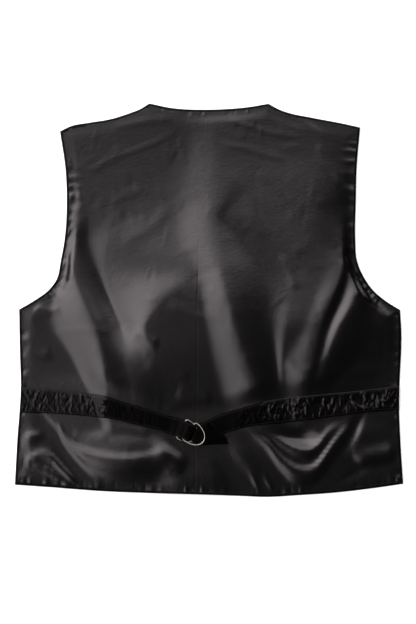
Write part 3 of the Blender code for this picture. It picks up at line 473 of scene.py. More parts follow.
def swelling(x, y, row):
    """Height of an oval rise or dip."""
    cx, cy, half_length, half_width, turn, height = row
    c, s = math.cos(math.radians(turn)), math.sin(math.radians(turn))
    u = ((x - cx) * c + (y - cy) * s) / half_length
    v = (-(x - cx) * s + (y - cy) * c) / half_width
    return height * (1 - np.clip(u * u + v * v, 0, 1))**2


def scattered(seed, count, *ranges):
    """Seeded rows with one value from each range."""
    draw = random.Random(seed)
    return [tuple(draw.uniform(low, high) for low, high in ranges) for _ in range(count)]


def to_path(x, y, path):
    """Distance to a path, and the nearest place on it in segments from its start."""
    nearest, place = np.full(np.shape(x), 1e6), np.zeros(np.shape(x))
    for k, (a, b) in enumerate(zip(path, path[1:])):
        run = b - a
        t = np.clip(((x - a[0]) * run[0] + (y - a[1]) * run[1]) / max(run @ run, 1e-12), 0, 1)
        distance = np.hypot(x - a[0] - t * run[0], y - a[1] - t * run[1])
        closer = distance < nearest
        nearest, place = np.where(closer, distance, nearest), np.where(closer, k + t, place)
    return nearest, place


def pulls(x, y):
    """Height of the faint pulls."""
    total = np.zeros(np.shape(x))
    for points, height, width in PULLS:
        path = along(points, np.linspace(0, 1, 14))
        near = ((x > path[:, 0].min() - 3 * width) & (x < path[:, 0].max() + 3 * width)
                & (y > path[:, 1].min() - 3 * width) & (y < path[:, 1].max() + 3 * width))
        distance, place = to_path(x[near], y[near], path)
        share = place / (len(path) - 1)
        total[near] += height * np.exp(-(distance / width)**2) * smooth(0, 0.2, share) * smooth(1, 0.8, share)
    return total


def x_run(rows, first, last, count):
    """Points along a table of (x, y), evenly spread in x."""
    x = np.linspace(first, last, count)
    return np.column_stack([x, y_at(rows, x)])


def outline():
    """The back's outline as one closed run of points, from the hem's left corner, anticlockwise."""
    steps = np.linspace(0, 1, 25)
    return np.vstack([
        x_run(HEM, HEM[0][0], HEM[-1][0], 25), np.asarray(SIDE["right"])[1:, ::-1],
        along(ARMHOLE["right"], steps)[1:], np.asarray(SHOULDER["right"])[::-1][1:],
        x_run(NECK, NECK[-1][0], NECK[0][0], 13)[1:],
        np.asarray(SHOULDER["left"])[::-1][1:], along(ARMHOLE["left"], steps)[::-1][1:],
        np.asarray(SIDE["left"])[::-1, ::-1][1:]])


def edge_place(x, y):
    """Distance from the outline, and how many mm round it the nearest point lies."""
    ring = outline()
    ring = np.vstack([ring, ring[:1]])
    length = np.concatenate([[0], np.cumsum(np.linalg.norm(np.diff(ring, axis=0), axis=1))])
    distance, place = to_path(x, y, ring)
    return distance, np.interp(place, np.arange(len(ring)), length)


def lap_lift(x, y):
    """Share by which the right front climbs over the left one."""
    edge = LAP_MIDDLE + LAP / 2
    return (1 - smooth(edge + LAP_EASE[0], edge + LAP_EASE[1], x)) * (1 - smooth(*LAP_EASE_Y, y))


def placket_lift(x, y):
    """Share by which both fronts climb over the buttons."""
    return plateau(x, *PLACKET_X) * plateau(y, *PLACKET_Y)


def fronts_top(x, y):
    """Height of the fronts below the back."""
    lap = lap_lift(x, y) * smooth(*LAP_EASE_LEFT, x)
    return SUEDE + LIFT_OVER_FRONT * lap + LIFT_OVER_BUTTON * placket_lift(x, y)


def soft_max(a, b, blend):
    """The larger of two, rounded where they meet."""
    return 0.5 * (a + b + np.sqrt((a - b)**2 + blend**2))


def strap_distance(x, y):
    """Distance above or below the cinch strap."""
    left = np.asarray(x) < LAP_MIDDLE
    high, low = (np.where(left, y_at(edge["left"], x), y_at(edge["right"], x))
                 for edge in (STRAP_HIGH, STRAP_LOW))
    return np.clip(np.maximum(y - high, low - y), 0, None)


def back_top(x, y):
    """Height of the back's outer face, main folds only."""
    x, y = np.asarray(x, float), np.asarray(y, float)
    folds = between_lines(x, y)
    for taper, rows in DOWN_FOLDS.values():
        folds += fold_height(y, x, rows, taper)
    for taper, rows in ACROSS_FOLDS.values():
        folds += fold_height(x, y, rows, taper)
    for row in POOLS.values():
        folds += swelling(x, y, row)
    folds *= 1 - STRAP_PRESS * (1 - smooth(0, PRESS_REACH, strap_distance(x, y)))
    folds *= smooth(*BUCKLE_FADE, np.hypot(x - BUCKLE[0], (y - BUCKLE[1]) * BUCKLE_SQUASH))
    edge, _ = edge_place(x, y)
    folds *= smooth(*FOLD_FADE, edge)
    floor = fronts_top(x, y) + HIDDEN_GAP + SATIN
    air = AIR + (AIR_TOP - AIR) * smooth(*AIR_TOP_Y, y)
    air += HUMP * plateau(x, *HUMP_X) * (1 - smooth(*HUMP_Y, y))
    loft = SUEDE + GAP + SATIN + air * (1 - np.exp(-(edge / LOFT_REACH)**2))
    touching = fronts_top(x, y) + GAP + SATIN
    inner = smooth(0, LOFT_FADE, edge)
    return touching + (soft_max(loft + folds, floor, SETTLE) - touching) * inner


# ---------------------------------------------------------------- grids

def clustered(count, low, high, pull=0.7):
    """count + 1 places from low to high, closer together at both ends."""
    t = np.linspace(0, 1, count + 1)
    return low + (high - low) * (t - pull * np.sin(2 * math.pi * t) / (2 * math.pi))


def back_grid(side, bands=(26, 18, 44, 92), neck_columns=64, shoulder_columns=92):
    """Grid of a back panel, row by row from hem to top, from the centre seam outwards."""
    sign = -1 if side == "left" else 1
    neck_x = abs(SHOULDER[side][-1 if side == "left" else 0][0])
    tip = np.asarray(ARMHOLE[side][-1], float)
    seam_top = np.array([SEAM[-1][1] + sign * SEAM_GAP / 2, SEAM[-1][0]])
    neck_share = (sign * neck_x - seam_top[0]) / (tip[0] - seam_top[0])
    share = np.concatenate([clustered(neck_columns, 0, neck_share, 0.5),
                            neck_share + (1 - neck_share)
                            * np.sin(np.linspace(0, 1, shoulder_columns + 1)[1:] * math.pi / 2)**1.25])
    underarm, corner = ARMHOLE[side][0], SIDE[side][0]
    high, low = STRAP_HIGH[side], STRAP_LOW[side]

    def top(x):
        return np.where(np.abs(x) < neck_x, y_at(NECK, x), y_at(SHOULDER[side], x))

    guides = [(lambda x: y_at(HEM, x), corner[1]), (lambda x: y_at(low, x), low[0][1]),
              (lambda x: y_at(high, x), high[0][1]),
              (lambda x: np.full(np.shape(x), float(underarm[1])), underarm[1]), (top, tip[1])]
    seam_y = [float(y_at(HEM, SEAM[0][1])), SEAM[1][0], SEAM[2][0], underarm[1], SEAM[-1][0]]
    rows = []
    for band, cells in enumerate(bands):
        edges = []
        for guide in (band, band + 1):
            height, y_out = guides[guide]
            x_out = tip[0] if guide == 4 else float(y_at(SIDE[side], y_out))
            x_in = float(y_at(SEAM, seam_y[guide])) + sign * SEAM_GAP / 2
            x = x_in + (x_out - x_in) * share
            edges.append(np.column_stack([x, height(x)]))
        chords = [e[:1] + (e[-1:] - e[:1]) * share[:, None] for e in edges]
        last = band == len(bands) - 1
        for t in clustered(cells, 0, 1, 0.5)[:cells + last]:
            y_in = seam_y[band] + (seam_y[band + 1] - seam_y[band]) * t
            inner = np.array([float(y_at(SEAM, y_in)) + sign * SEAM_GAP / 2, float(y_in)])
            if last:
                outer = along(ARMHOLE[side], t)
            else:
                y_out = edges[0][-1, 1] + (edges[1][-1, 1] - edges[0][-1, 1]) * t
                outer = np.array([float(y_at(SIDE[side], y_out)), float(y_out)])
            chord = inner + (outer - inner) * share[:, None]
            rows.append(chord + (1 - t) * (edges[0] - chords[0]) + t * (edges[1] - chords[1]))
    grid = np.array(rows)
    return grid[..., 0], grid[..., 1]


def front_grid(side, columns=70, low_rows=60, high_rows=60):
    """Grid of a front panel, from its centre front edge outwards."""
    sign = -1 if side == "left" else 1
    edge_x = LAP_MIDDLE - sign * LAP / 2
    neck = SHOULDER[side][-1 if side == "left" else 0]
    tip = ARMHOLE[side][-1]
    share = np.linspace(0, 1, columns + 1)**1.35
    corner_y = SIDE[side][0][0] + FRONT_INSET
    rows = []
    for t in np.linspace(0, 1, low_rows + 1):
        y_out = corner_y + (ARMHOLE[side][0][1] - corner_y) * t
        x_out = float(y_at(SIDE[side], y_out)) - sign * FRONT_INSET
        x = edge_x + (x_out - edge_x) * share
        hem = y_at(HEM, x) + FRONT_INSET
        level = V_POINT_Y + (ARMHOLE[side][0][1] - V_POINT_Y) * share
        rows.append(np.column_stack([x, hem + (level - hem) * t]))
    base = rows[-1][:, 1]
    straight_base = base[0] + (base[-1] - base[0]) * share
    for t in np.linspace(0, 1, high_rows + 1)[1:]:
        inner = np.array([edge_x + (neck[0] - edge_x) * t,
                          V_POINT_Y + (neck[1] - FRONT_INSET - V_POINT_Y) * t])
        outer = along(ARMHOLE[side], t) - np.array([sign * FRONT_INSET, FRONT_INSET * t])
        x_top = neck[0] + (tip[0] - sign * FRONT_INSET - neck[0]) * share
        rise = y_at(SHOULDER[side], x_top) - (neck[1] + (tip[1] - neck[1]) * share)
        row = inner + (outer - inner) * share[:, None]
        row[:, 1] += rise * t + (base - straight_base) * (1 - t)
        rows.append(row)
    grid = np.array(rows)
    return grid[..., 0], grid[..., 1]


# ---------------------------------------------------------------- meshes

def lay(x, y, z):
    """Points from their coordinates."""
    return np.stack([x, y, z], axis=-1)


def add_object(name, data):
    """An object of that data in the scene."""
    made = bpy.data.objects.new(name, data)
    bpy.context.scene.collection.objects.link(made)
    return made


def add_piece(name, points, faces, materials, crease=55.0):
    """A mesh object at the origin from points in mm."""
    mesh = bpy.data.meshes.new(name)
    mesh.from_pydata((np.asarray(points, float) * MM).tolist(), [], faces)
    mesh.update()
    mesh.shade_smooth()
    mesh.set_sharp_from_angle(angle=math.radians(crease))
    for material in materials:
        mesh.materials.append(material)
    return add_object(name, mesh)


def second_finish(piece, chosen):
    """Gives the piece's second material to the faces that chosen(x, y), in mm, picks."""
    mesh = piece.data
    centres = np.zeros(len(mesh.polygons) * 3)
    mesh.polygons.foreach_get("center", centres)
    x, y = centres.reshape(-1, 3)[:, :2].T / MM
    mesh.polygons.foreach_set("material_index", chosen(x, y).astype(np.int32))
    mesh.update()


def grid_rim(count_u, count_v):
    """Indices round a grid, once."""
    rim = [u * count_v for u in range(count_u)]
    rim += [(count_u - 1) * count_v + v for v in range(1, count_v)]
    rim += [u * count_v + count_v - 1 for u in range(count_u - 2, -1, -1)]
    rim += [v for v in range(count_v - 2, 0, -1)]
    return np.array(rim)


def shell(name, outer, inner, materials, bulge=0.3, rim_steps=3):
    """Closed thin shell between two grids, outer one up, with a rounded rim."""
    count_u, count_v = outer.shape[:2]
    size = count_u * count_v
    way = -1 if np.cross(outer[1, 0] - outer[0, 0], outer[0, 1] - outer[0, 0])[2] < 0 else 1
    rim = grid_rim(count_u, count_v)
    top, bottom = outer.reshape(-1, 3), inner.reshape(-1, 3)
    run = np.roll(top[rim], -1, axis=0) - np.roll(top[rim], 1, axis=0)
    out = np.column_stack([run[:, 1], -run[:, 0], np.zeros(len(rim))])
    out /= np.maximum(np.linalg.norm(out, axis=1, keepdims=True), 1e-9)
    area = np.sum(top[rim][:, 0] * np.roll(top[rim][:, 1], -1) - np.roll(top[rim][:, 0], -1) * top[rim][:, 1])
    out *= 1 if area > 0 else -1
    rings = []
    for k in range(1, rim_steps + 1):
        angle = math.pi * k / (rim_steps + 1)
        blend = (1 + math.cos(angle)) / 2
        rings.append(top[rim] * blend + bottom[rim] * (1 - blend) + out * bulge * math.sin(angle))
    points = np.vstack([top, bottom] + rings)
    cell = (np.arange(count_u - 1)[:, None] * count_v + np.arange(count_v - 1)).ravel()
    quads = np.column_stack([cell, cell + count_v, cell + count_v + 1, cell + 1])[:, ::way]
    faces = quads.tolist() + (quads[:, ::-1] + size).tolist()
    loops = [rim] + [2 * size + k * len(rim) + np.arange(len(rim)) for k in range(rim_steps)] + [rim + size]
    for a, b in zip(loops, loops[1:]):
        faces += np.column_stack([a, b, np.roll(b, -1), np.roll(a, -1)])[:, ::way].tolist()
    return add_piece(name, points, faces, materials)


# ---------------------------------------------------------------- materials

def new_material(name, colour, roughness, specular=0.5, metallic=0.0):
    """A material with one Principled shader, and that shader."""
    material = bpy.data.materials.new(name)
    material.use_nodes = True
    shader = material.node_tree.nodes["Principled BSDF"]
    values = {"Base Color": (*colour, 1.0), "Roughness": roughness, "Specular IOR Level": specular,
              "Metallic": metallic}
    for socket, value in values.items():
        shader.inputs[socket].default_value = value
    return material, shader


def add_node(tree, kind, values=(), **settings):
    """A node with its settings and values; a value that is another node's socket is linked."""
    node = tree.nodes.new(kind)
    for key, value in settings.items():
        setattr(node, key, value)
    for socket, value in dict(values).items():
        if isinstance(value, bpy.types.NodeSocket):
            tree.links.new(value, node.inputs[socket])
        else:
            node.inputs[socket].default_value = value
    return node


def feed(tree, shader, **values):
    """Links sockets to a shader's inputs."""
    for name, socket in values.items():
        tree.links.new(socket, shader.inputs[name.replace("_", " ")])


def satin_weave_group():
    """Twill of fine yarns with uneven places and a drawn-out grain, for every satin."""
    group = bpy.data.node_groups.get("Satin weave")
    if group:
        return group
    group = bpy.data.node_groups.new("Satin weave", "ShaderNodeTree")
    for name, default in (("Yarn", 0.00035), ("Slub size", 0.0016)):
        socket = group.interface.new_socket(name, in_out="INPUT", socket_type="NodeSocketFloat")
        socket.default_value = default
    for name in ("Height", "Slub"):
        group.interface.new_socket(name, in_out="OUTPUT", socket_type="NodeSocketFloat")
    entry = add_node(group, "NodeGroupInput").outputs
    place = add_node(group, "ShaderNodeTexCoord").outputs["Object"]
    yarns = add_node(group, "ShaderNodeMath", {0: 0.7, 1: entry["Yarn"]}, operation="DIVIDE")
    turned = add_node(group, "ShaderNodeMapping", {"Vector": place, "Rotation": (0, 0, math.radians(27))})
    wave = add_node(group, "ShaderNodeTexWave",
                    {"Vector": turned.outputs["Vector"], "Scale": yarns.outputs[0], "Distortion": 1.2,
                     "Detail": 1.0, "Detail Scale": 2.0}, wave_type="BANDS", bands_direction="X")
    slubs = add_node(group, "ShaderNodeMath", {0: 1.0, 1: entry["Slub size"]}, operation="DIVIDE")
    noise = add_node(group, "ShaderNodeTexNoise",
                     {"Vector": place, "Scale": slubs.outputs[0], "Detail": 3.0, "Roughness": 0.65})
    both = add_node(group, "ShaderNodeMath", {0: wave.outputs["Fac"], 1: 0.6, 2: noise.outputs["Fac"]},
                    operation="MULTIPLY_ADD")
    drawn = add_node(group, "ShaderNodeMapping", {"Vector": place, "Scale": (0.5, 1.0, 1.0)})
    grain = add_node(group, "ShaderNodeTexNoise",
                     {"Vector": drawn.outputs["Vector"], "Scale": 300.0, "Detail": 3.0, "Roughness": 0.62})
    height = add_node(group, "ShaderNodeMath", {0: grain.outputs["Fac"], 1: 10.0, 2: both.outputs[0]},
                      operation="MULTIPLY_ADD")
    add_node(group, "NodeGroupOutput", {"Height": height.outputs[0], "Slub": noise.outputs["Fac"]})
    return group


def satin_material(name):
    """Black satin: a smooth warp face, with a fine weave that shows close to."""
    colour, roughness, specular, weave = SATINS[name]
    material, shader = new_material(name, colour, roughness, specular)
    shader.inputs["Specular Tint"].default_value = SATIN_TINT
    tree = material.node_tree
    cloth = add_node(tree, "ShaderNodeGroup", node_tree=satin_weave_group()).outputs
    bump = add_node(tree, "ShaderNodeBump", {"Strength": weave, "Distance": 0.0003, "Height": cloth["Height"]})
    rough = add_node(tree, "ShaderNodeMapRange",
                     {"Value": cloth["Slub"], "From Min": 0.3, "From Max": 0.7, "To Min": roughness - 0.03,
                      "To Max": roughness + 0.03})
    feed(tree, shader, Normal=bump.outputs["Normal"], Roughness=rough.outputs[0])
    return material


def suede_material(name):
    """Short nap, brushed lighter and darker in patches."""
    material, shader = new_material(name, (0.012, 0.011, 0.011), 0.9, 0.2)
    shader.inputs["Sheen Weight"].default_value = 0.25
    shader.inputs["Sheen Roughness"].default_value = 0.45
    tree = material.node_tree
    place = add_node(tree, "ShaderNodeTexCoord").outputs["Object"]
    nap = add_node(tree, "ShaderNodeTexNoise",
                   {"Vector": place, "Scale": 1400.0, "Detail": 4.0, "Roughness": 0.7})
    patch = add_node(tree, "ShaderNodeTexNoise",
                     {"Vector": place, "Scale": 22.0, "Detail": 3.0, "Roughness": 0.6})
    brushed = add_node(tree, "ShaderNodeMix", {"A": (0.007, 0.0065, 0.0065, 1), "B": (0.021, 0.019, 0.019, 1),
                                               "Factor": patch.outputs["Fac"]}, data_type="RGBA")
    bump = add_node(tree, "ShaderNodeBump", {"Strength": 0.5, "Distance": 0.0004, "Height": nap.outputs["Fac"]})
    feed(tree, shader, Base_Color=brushed.outputs["Result"], Normal=bump.outputs["Normal"])
    return material


def hard_material(name):
    """Metal or plastic with faint rubbed marks."""
    colour, roughness, metallic, scale, detail, fineness, (low, high) = HARD[name]
    material, shader = new_material(name, colour, roughness, metallic=metallic)
    tree = material.node_tree
    place = add_node(tree, "ShaderNodeTexCoord").outputs["Object"]
    marks = add_node(tree, "ShaderNodeTexNoise",
                     {"Vector": place, "Scale": scale, "Detail": detail, "Roughness": fineness})
    rough = add_node(tree, "ShaderNodeMapRange", {"Value": marks.outputs["Fac"], "To Min": low, "To Max": high})
    feed(tree, shader, Roughness=rough.outputs[0])
    return material


def thread_material(name):
    """Plain black thread."""
    return new_material(name, (0.01, 0.009, 0.01), 0.5, 0.4)[0]


def once(name, make):
    """The material of that name, made the first time it is asked for."""
    return bpy.data.materials.get(name) or make(name)


# ---------------------------------------------------------------- the back

def gathers(edge, place):
    """Small gathers along the sewn edges."""
    total = np.zeros(edge.shape)
    for row in GATHERS:
        for middle, reach, half, height in scattered(*row):
            near = np.abs(place - middle) < half
            q = ((place[near] - middle) / half)**2
            total[near] += height * (1 - q)**2 * (1 - smooth(GATHER_FULL, reach, edge[near]))
    return total * smooth(0, GATHER_RISE, edge)


def mottles(x, y):
    """Small unevenness of the laid cloth."""
    total = np.zeros(np.shape(x))
    for row in scattered(*MOTTLES):
        near = np.maximum(np.abs(x - row[0]), np.abs(y - row[1])) < MOTTLE_REACH
        total[near] += swelling(x[near], y[near], row)
    return total


def back_detail(x, y):
    """What lies over the main folds: pulls, rolled edge, gathers, seam."""
    edge, place = edge_place(x, y)
    fine = (pulls(x, y) + mottles(x, y)) * smooth(*FINE_FADE, edge)
    roll = -EDGE_ROLL * (1 - smooth(0, EDGE_ROLL_REACH, edge))
    roll -= HEM_ROLL * (1 - smooth(*HEM_ROLL_FADE, edge)) * (y < HEM_ROLL_Y)
    seam = -SEAM_DIP * (1 - smooth(0, SEAM_DIP_REACH, np.abs(x - y_at(SEAM, y))))
    seam *= 1 - smooth(*SEAM_DIP_Y, y)
    return soft_max(fine + roll + gathers(edge, place) + seam, DEEPEST, DEEPEST_BLEND)


def make_back(side, thickness):
    """A satin back panel, thickness in mm."""
    x, y = back_grid(side)
    outer = lay(x, y, back_top(x, y) + back_detail(x, y))
    piece = shell("back_%s_satin" % side, outer, outer - np.array([0, 0, thickness]),
                  [once("black satin", satin_material), once("turned satin edge", satin_material)], bulge=0.02)
    second_finish(piece, lambda x, y: edge_place(x, y)[0] < TURNED_EDGE)
    return piece


# ---------------------------------------------------------------- the cinch strap

def strap_lift(side, x):
    """Height of the free strap over the back, over its sewn height."""
    return LEFT_LIFT * smooth(*LEFT_LIFT_X, x) if side == "left" else np.zeros(np.shape(x))


def free_run(rows):
    """Rows of (x, y, heading, half width, height) as stations."""
    run = []
    for x, y, heading, half, height in rows:
        turn = math.radians(heading)
        run.append((x, y, height, (-math.sin(turn), math.cos(turn)), half))
    return run


def fold_over(row, over, count=9):
    """Stations of a half turn."""
    x, y, heading, half, height, radius = row
    turn = math.radians(heading)
    run = []
    for k in range(1, count - 1):
        angle = math.pi / 2 - math.pi * k / (count - 1)
        reach = radius * math.cos(angle)
        rise = radius * math.sin(angle) * (1 if over else -1)
        run.append((x + reach * math.cos(turn), y + reach * math.sin(turn), height + rise,
                    (-math.sin(turn), math.cos(turn)), half))
    return run


def turned(run):
    """The same stations with their other side first."""
    return [(x, y, height, (-way[0], -way[1]), half) for x, y, height, way, half in run]


def ribbon(run):
    """Middle surface of a free strap from its stations."""
    rows = []
    for x, y, height, way, half in run:
        px, py = x + ACROSS * half * way[0], y + ACROSS * half * way[1]
        rows.append(lay(px, py, np.full(px.shape, back_top(px, py).max() + height)))
    return np.array(rows)


def sewn_run(side, columns=90):
    """Middle surface of the strap over the panel, from the side seam inwards."""
    rows, x_start, x_end = [], SIDE[side][2][1], SEWN_END[side]
    for t in np.linspace(0, 1, columns):
        x0 = x_start + (x_end - x_start) * t
        low, high = float(y_at(STRAP_LOW[side], x0)), float(y_at(STRAP_HIGH[side], x0))
        y = low + (high - low) * (ACROSS + 1) / 2
        x = y_at(SIDE[side], y) * (1 - t) + x_end * t
        z = back_top(x, y) + GAP + STRAP_THICK / 2 + strap_lift(side, x)
        rows.append(lay(x, y, z))
    return np.array(rows)


def refined(rows, step):
    """The same run with a row about every step mm, smooth through the rows given."""
    middle = rows.mean(axis=1)
    length = np.concatenate([[0], np.cumsum(np.linalg.norm(np.diff(middle, axis=0), axis=1))])
    count = int(length[-1] / step)
    table = np.column_stack([length, rows.reshape(len(rows), -1)]).tolist()
    return stations(table, np.linspace(0, length[-1], count)).reshape(count, -1, 3)


def strap_crinkle(side, middle):
    """Small creases of the sewn strap, in mm along its normal."""
    x, y = middle[..., 0], middle[..., 1]
    centre = middle[:, middle.shape[1] // 2]
    total = np.zeros(x.shape)
    for cx, share, half_length, half_width, turn, height in scattered(*CRINKLES[side]):
        row = int(np.argmin(np.abs(centre[:, 0] - cx)))
        cy = centre[row, 1] + share * CRINKLE_SPREAD
        total += swelling(x, y, (cx, cy, half_length, half_width, turn, height))
    return total * smooth(*CRINKLE_FADE[side], x) * (1 - np.abs(ACROSS)**4)


def in_shaded_strap(x, y):
    """Whether a place lies on the strap's stretch with painted shade."""
    x = x + sum(size * np.sin(rate * y + start) for size, rate, start in SHADED_STRAP_WAVES)
    return (x > SHADED_STRAP[0]) & (x < SHADED_STRAP[1])


def strap_shell(side, rows):
    """The strap as two layers of satin, stitched along both edges, and its outer face."""
    middle = refined(rows, STRAP_ROW)
    normal = np.cross(np.gradient(middle, axis=0), np.gradient(middle, axis=1))
    normal /= np.linalg.norm(normal, axis=-1, keepdims=True)
    if normal[0, 0, 2] < 0:
        normal = -normal
    depth, place, width = STRAP_GROOVE
    half = STRAP_THICK / 2 * np.clip(1 - np.abs(ACROSS)**12, 0, 1)**0.5
    half = np.maximum(half, STRAP_EDGE) - depth * np.exp(-((np.abs(ACROSS) - place) / width)**2)
    relief = np.maximum(strap_crinkle(side, middle), -CRINKLE_DEPTH * half)
    outer = middle + normal * (half + relief)[..., None]
    inner = middle - normal * half[None, :, None]
    piece = shell("strap_%s_satin" % side, outer, inner,
                  [once("strap satin", satin_material), once("free strap satin", satin_material)],
                  bulge=0.1, rim_steps=1)
    # painted shade: the middle stretch takes the duller copy of the strap satin
    second_finish(piece, in_shaded_strap)
    return piece, outer


def make_left_strap():
    """Sewn stretch, then out, round the rings and back beneath."""
    loop = free_run(LEFT_LOOP) + fold_over(LOOP_NOSE, True) + free_run(LEFT_RETURN)
    return strap_shell("left", np.vstack([sewn_run("left"), ribbon(loop)]))


def make_right_strap():
    """Sewn stretch, then through the rings, back between them, and the tail."""
    incoming = turned(free_run(RIGHT_RUN) + fold_over(U_TURN, False))
    rows = np.vstack([sewn_run("right"), ribbon(incoming + free_run(TAIL))])
    end = along(TAIL_END, np.linspace(1, 0, len(ACROSS)))
    start = rows[-1, :, :2]
    for share, height in TAIL_FALL:
        points = start + (end - start) * share
        rest = back_top(points[:, 0], points[:, 1]).max()
        droop = TAIL_DROOP * share * (1 - smooth(*DROOP_Y, points[:, 1]))
        rows = np.vstack([rows, lay(points[:, 0], points[:, 1], rest + height - droop)[None]])
    return strap_shell("right", rows)


# ---------------------------------------------------------------- rings and buttons

def ring_path(corner_steps=8, arc_steps=64):
    """Middle line of a D ring: along its axis, across it."""
    corner = []
    for k in range(corner_steps + 1):
        angle = math.radians(90 * k / corner_steps)
        corner.append((RING_CORNER * (1 - math.sin(angle)),
                       RING_HALF_WIDTH - RING_CORNER * (1 - math.cos(angle))))
    path = [(a, -w) for a, w in corner] + corner[::-1]
    for k in range(arc_steps + 1):
        angle = math.pi / 2 - math.pi * k / arc_steps
        path.append((RING_LEG + (RING_DEPTH - RING_LEG) * math.cos(angle),
                     RING_HALF_WIDTH * math.sin(angle)))
    return path


def make_ring(name, sides=20):
    """A D ring of round wire."""
    x, y, turn_down, height = RINGS[name]
    turn = -math.radians(turn_down)
    level = float(back_top(np.array([BUCKLE[0]]), np.array([BUCKLE[1]]))[0]) + height
    path = np.asarray(ring_path())
    tangent = np.roll(path, -1, axis=0) - np.roll(path, 1, axis=0)
    tangent /= np.linalg.norm(tangent, axis=1, keepdims=True)
    points, faces = [], []
    for (a, w), (ta, tw) in zip(path, tangent):
        for k in range(sides):
            angle = 2 * math.pi * k / sides
            out = RING_WIRE * math.cos(angle)
            pa, pw = a + tw * out, w - ta * out
            points.append((x + pa * math.cos(turn) - pw * math.sin(turn),
                           y + pa * math.sin(turn) + pw * math.cos(turn),
                           level + RING_WIRE * math.sin(angle)))
    for i in range(len(path)):
        here, there = i * sides, (i + 1) % len(path) * sides
        for k in range(sides):
            beside = (k + 1) % sides
            faces.append((there + k, there + beside, here + beside, here + k))
    return add_piece(name + "_plated", points, faces, [once("nickel plate", hard_material)])


def make_button(number, y, sides=48):
    """A turned button, outer face down."""
    points, faces = [(LAP_MIDDLE, y, BUTTON_PROFILE[0][1])], []
    for radius, z in BUTTON_PROFILE[1:-1]:
        for k in range(sides):
            angle = 2 * math.pi * k / sides
            points.append((LAP_MIDDLE + radius * math.cos(angle), y + radius * math.sin(angle), z))
    points.append((LAP_MIDDLE, y, BUTTON_PROFILE[-1][1]))
    last = len(points) - 1
    for k in range(sides):
        beside = (k + 1) % sides
        faces.append((0, 1 + beside, 1 + k))
        for ring in range(len(BUTTON_PROFILE) - 3):
            a, b = 1 + ring * sides + k, 1 + ring * sides + beside
            faces.append((a, b, b + sides, a + sides))
        faces.append((last - sides + k, last - sides + beside, last))
    return add_piece("button_%d_plastic" % number, points, faces, [once("button plastic", hard_material)],
                     crease=35.0)


# ---------------------------------------------------------------- the fronts

def make_front(side):
    """A suede front, flat below, over the buttons and the other front where it crosses them."""
    x, y = front_grid(side)
    z = LIFT_OVER_BUTTON * placket_lift(x, y)
    if side == "right":
        z = z + LIFT_OVER_FRONT * lap_lift(x, y)
    return shell("front_%s_suede" % side, lay(x, y, z + SUEDE), lay(x, y, z),
                 [once("black suede", suede_material)], bulge=0.35)


# ---------------------------------------------------------------- sewing

def stitch_tree():
    """Puts a stitch at every pitch along the edges of a mesh."""
    found = bpy.data.node_groups.get("Stitch row")
    if found:
        return found
    tree = bpy.data.node_groups.new("Stitch row", "GeometryNodeTree")
    face = tree.interface
    face.new_socket("Geometry", in_out="INPUT", socket_type="NodeSocketGeometry")
    for name, default in (("Pitch", 0.003), ("Stitch length", 0.002), ("Thread width", 0.0006)):
        socket = face.new_socket(name, in_out="INPUT", socket_type="NodeSocketFloat")
        socket.default_value = default
        socket.subtype = "DISTANCE"
    face.new_socket("Thread", in_out="INPUT", socket_type="NodeSocketMaterial")
    face.new_socket("Geometry", in_out="OUTPUT", socket_type="NodeSocketGeometry")
    entry = add_node(tree, "NodeGroupInput").outputs
    curve = add_node(tree, "GeometryNodeMeshToCurve", {"Mesh": entry["Geometry"]})
    spaced = add_node(tree, "GeometryNodeCurveToPoints",
                      {"Curve": curve.outputs["Curve"], "Length": entry["Pitch"]}, mode="LENGTH")
    bead = add_node(tree, "GeometryNodeMeshUVSphere", {"Segments": 6, "Rings": 4, "Radius": 0.5})
    size = add_node(tree, "ShaderNodeCombineXYZ",
                    {"X": entry["Stitch length"], "Y": entry["Thread width"], "Z": entry["Thread width"]})
    aim = add_node(tree, "FunctionNodeAlignRotationToVector", {"Vector": spaced.outputs["Tangent"]}, axis="X")
    placed = add_node(tree, "GeometryNodeInstanceOnPoints",
                      {"Points": spaced.outputs["Points"], "Instance": bead.outputs["Mesh"],
                       "Rotation": aim.outputs["Rotation"], "Scale": size.outputs["Vector"]})
    real = add_node(tree, "GeometryNodeRealizeInstances", {"Geometry": placed.outputs["Instances"]})
    dressed = add_node(tree, "GeometryNodeSetMaterial",
                       {"Geometry": real.outputs["Geometry"], "Material": entry["Thread"]})
    add_node(tree, "NodeGroupOutput", {"Geometry": dressed.outputs["Geometry"]})
    return tree


def sew(name, paths, cloth):
    """One mesh of stitches along paths in mm, as the cloth's settings say."""
    points, edges = [], []
    for path in paths:
        start = len(points)
        points += (np.asarray(path, float) * MM).tolist()
        edges += [(start + k, start + k + 1) for k in range(len(path) - 1)]
    mesh = bpy.data.meshes.new(name)
    mesh.from_pydata(points, edges, [])
    piece = add_object(name, mesh)
    modifier = piece.modifiers.new("Stitches", "NODES")
    tree = stitch_tree()
    modifier.node_group = tree
    values = {"Pitch": cloth.stitch_pitch, "Stitch length": cloth.stitch_length,
              "Thread width": cloth.thread_width, "Thread": once("black thread", thread_material)}
    for item in tree.interface.items_tree:
        if item.item_type == "SOCKET" and item.in_out == "INPUT" and item.name in values:
            modifier[item.identifier] = values[item.name]
    seen = piece.evaluated_get(bpy.context.evaluated_depsgraph_get())
    made = bpy.data.meshes.new_from_object(seen)
    piece.modifiers.clear()
    piece.data = made
    made.name = name
    made.shade_smooth()
    return piece


def inset_path(points, count):
    """The path moved inwards, to the left of its run, on the back's outer face."""
    path = along(points, np.linspace(*STITCH_SHARE, count))
    run = np.gradient(path, axis=0)
    run /= np.linalg.norm(run, axis=1, keepdims=True)
    x, y = (path + STITCH_INSET * np.column_stack([-run[:, 1], run[:, 0]])).T
    return lay(x, y, back_top(x, y) + back_detail(x, y) + STITCH_LIFT)


# ---------------------------------------------------------------- add-on

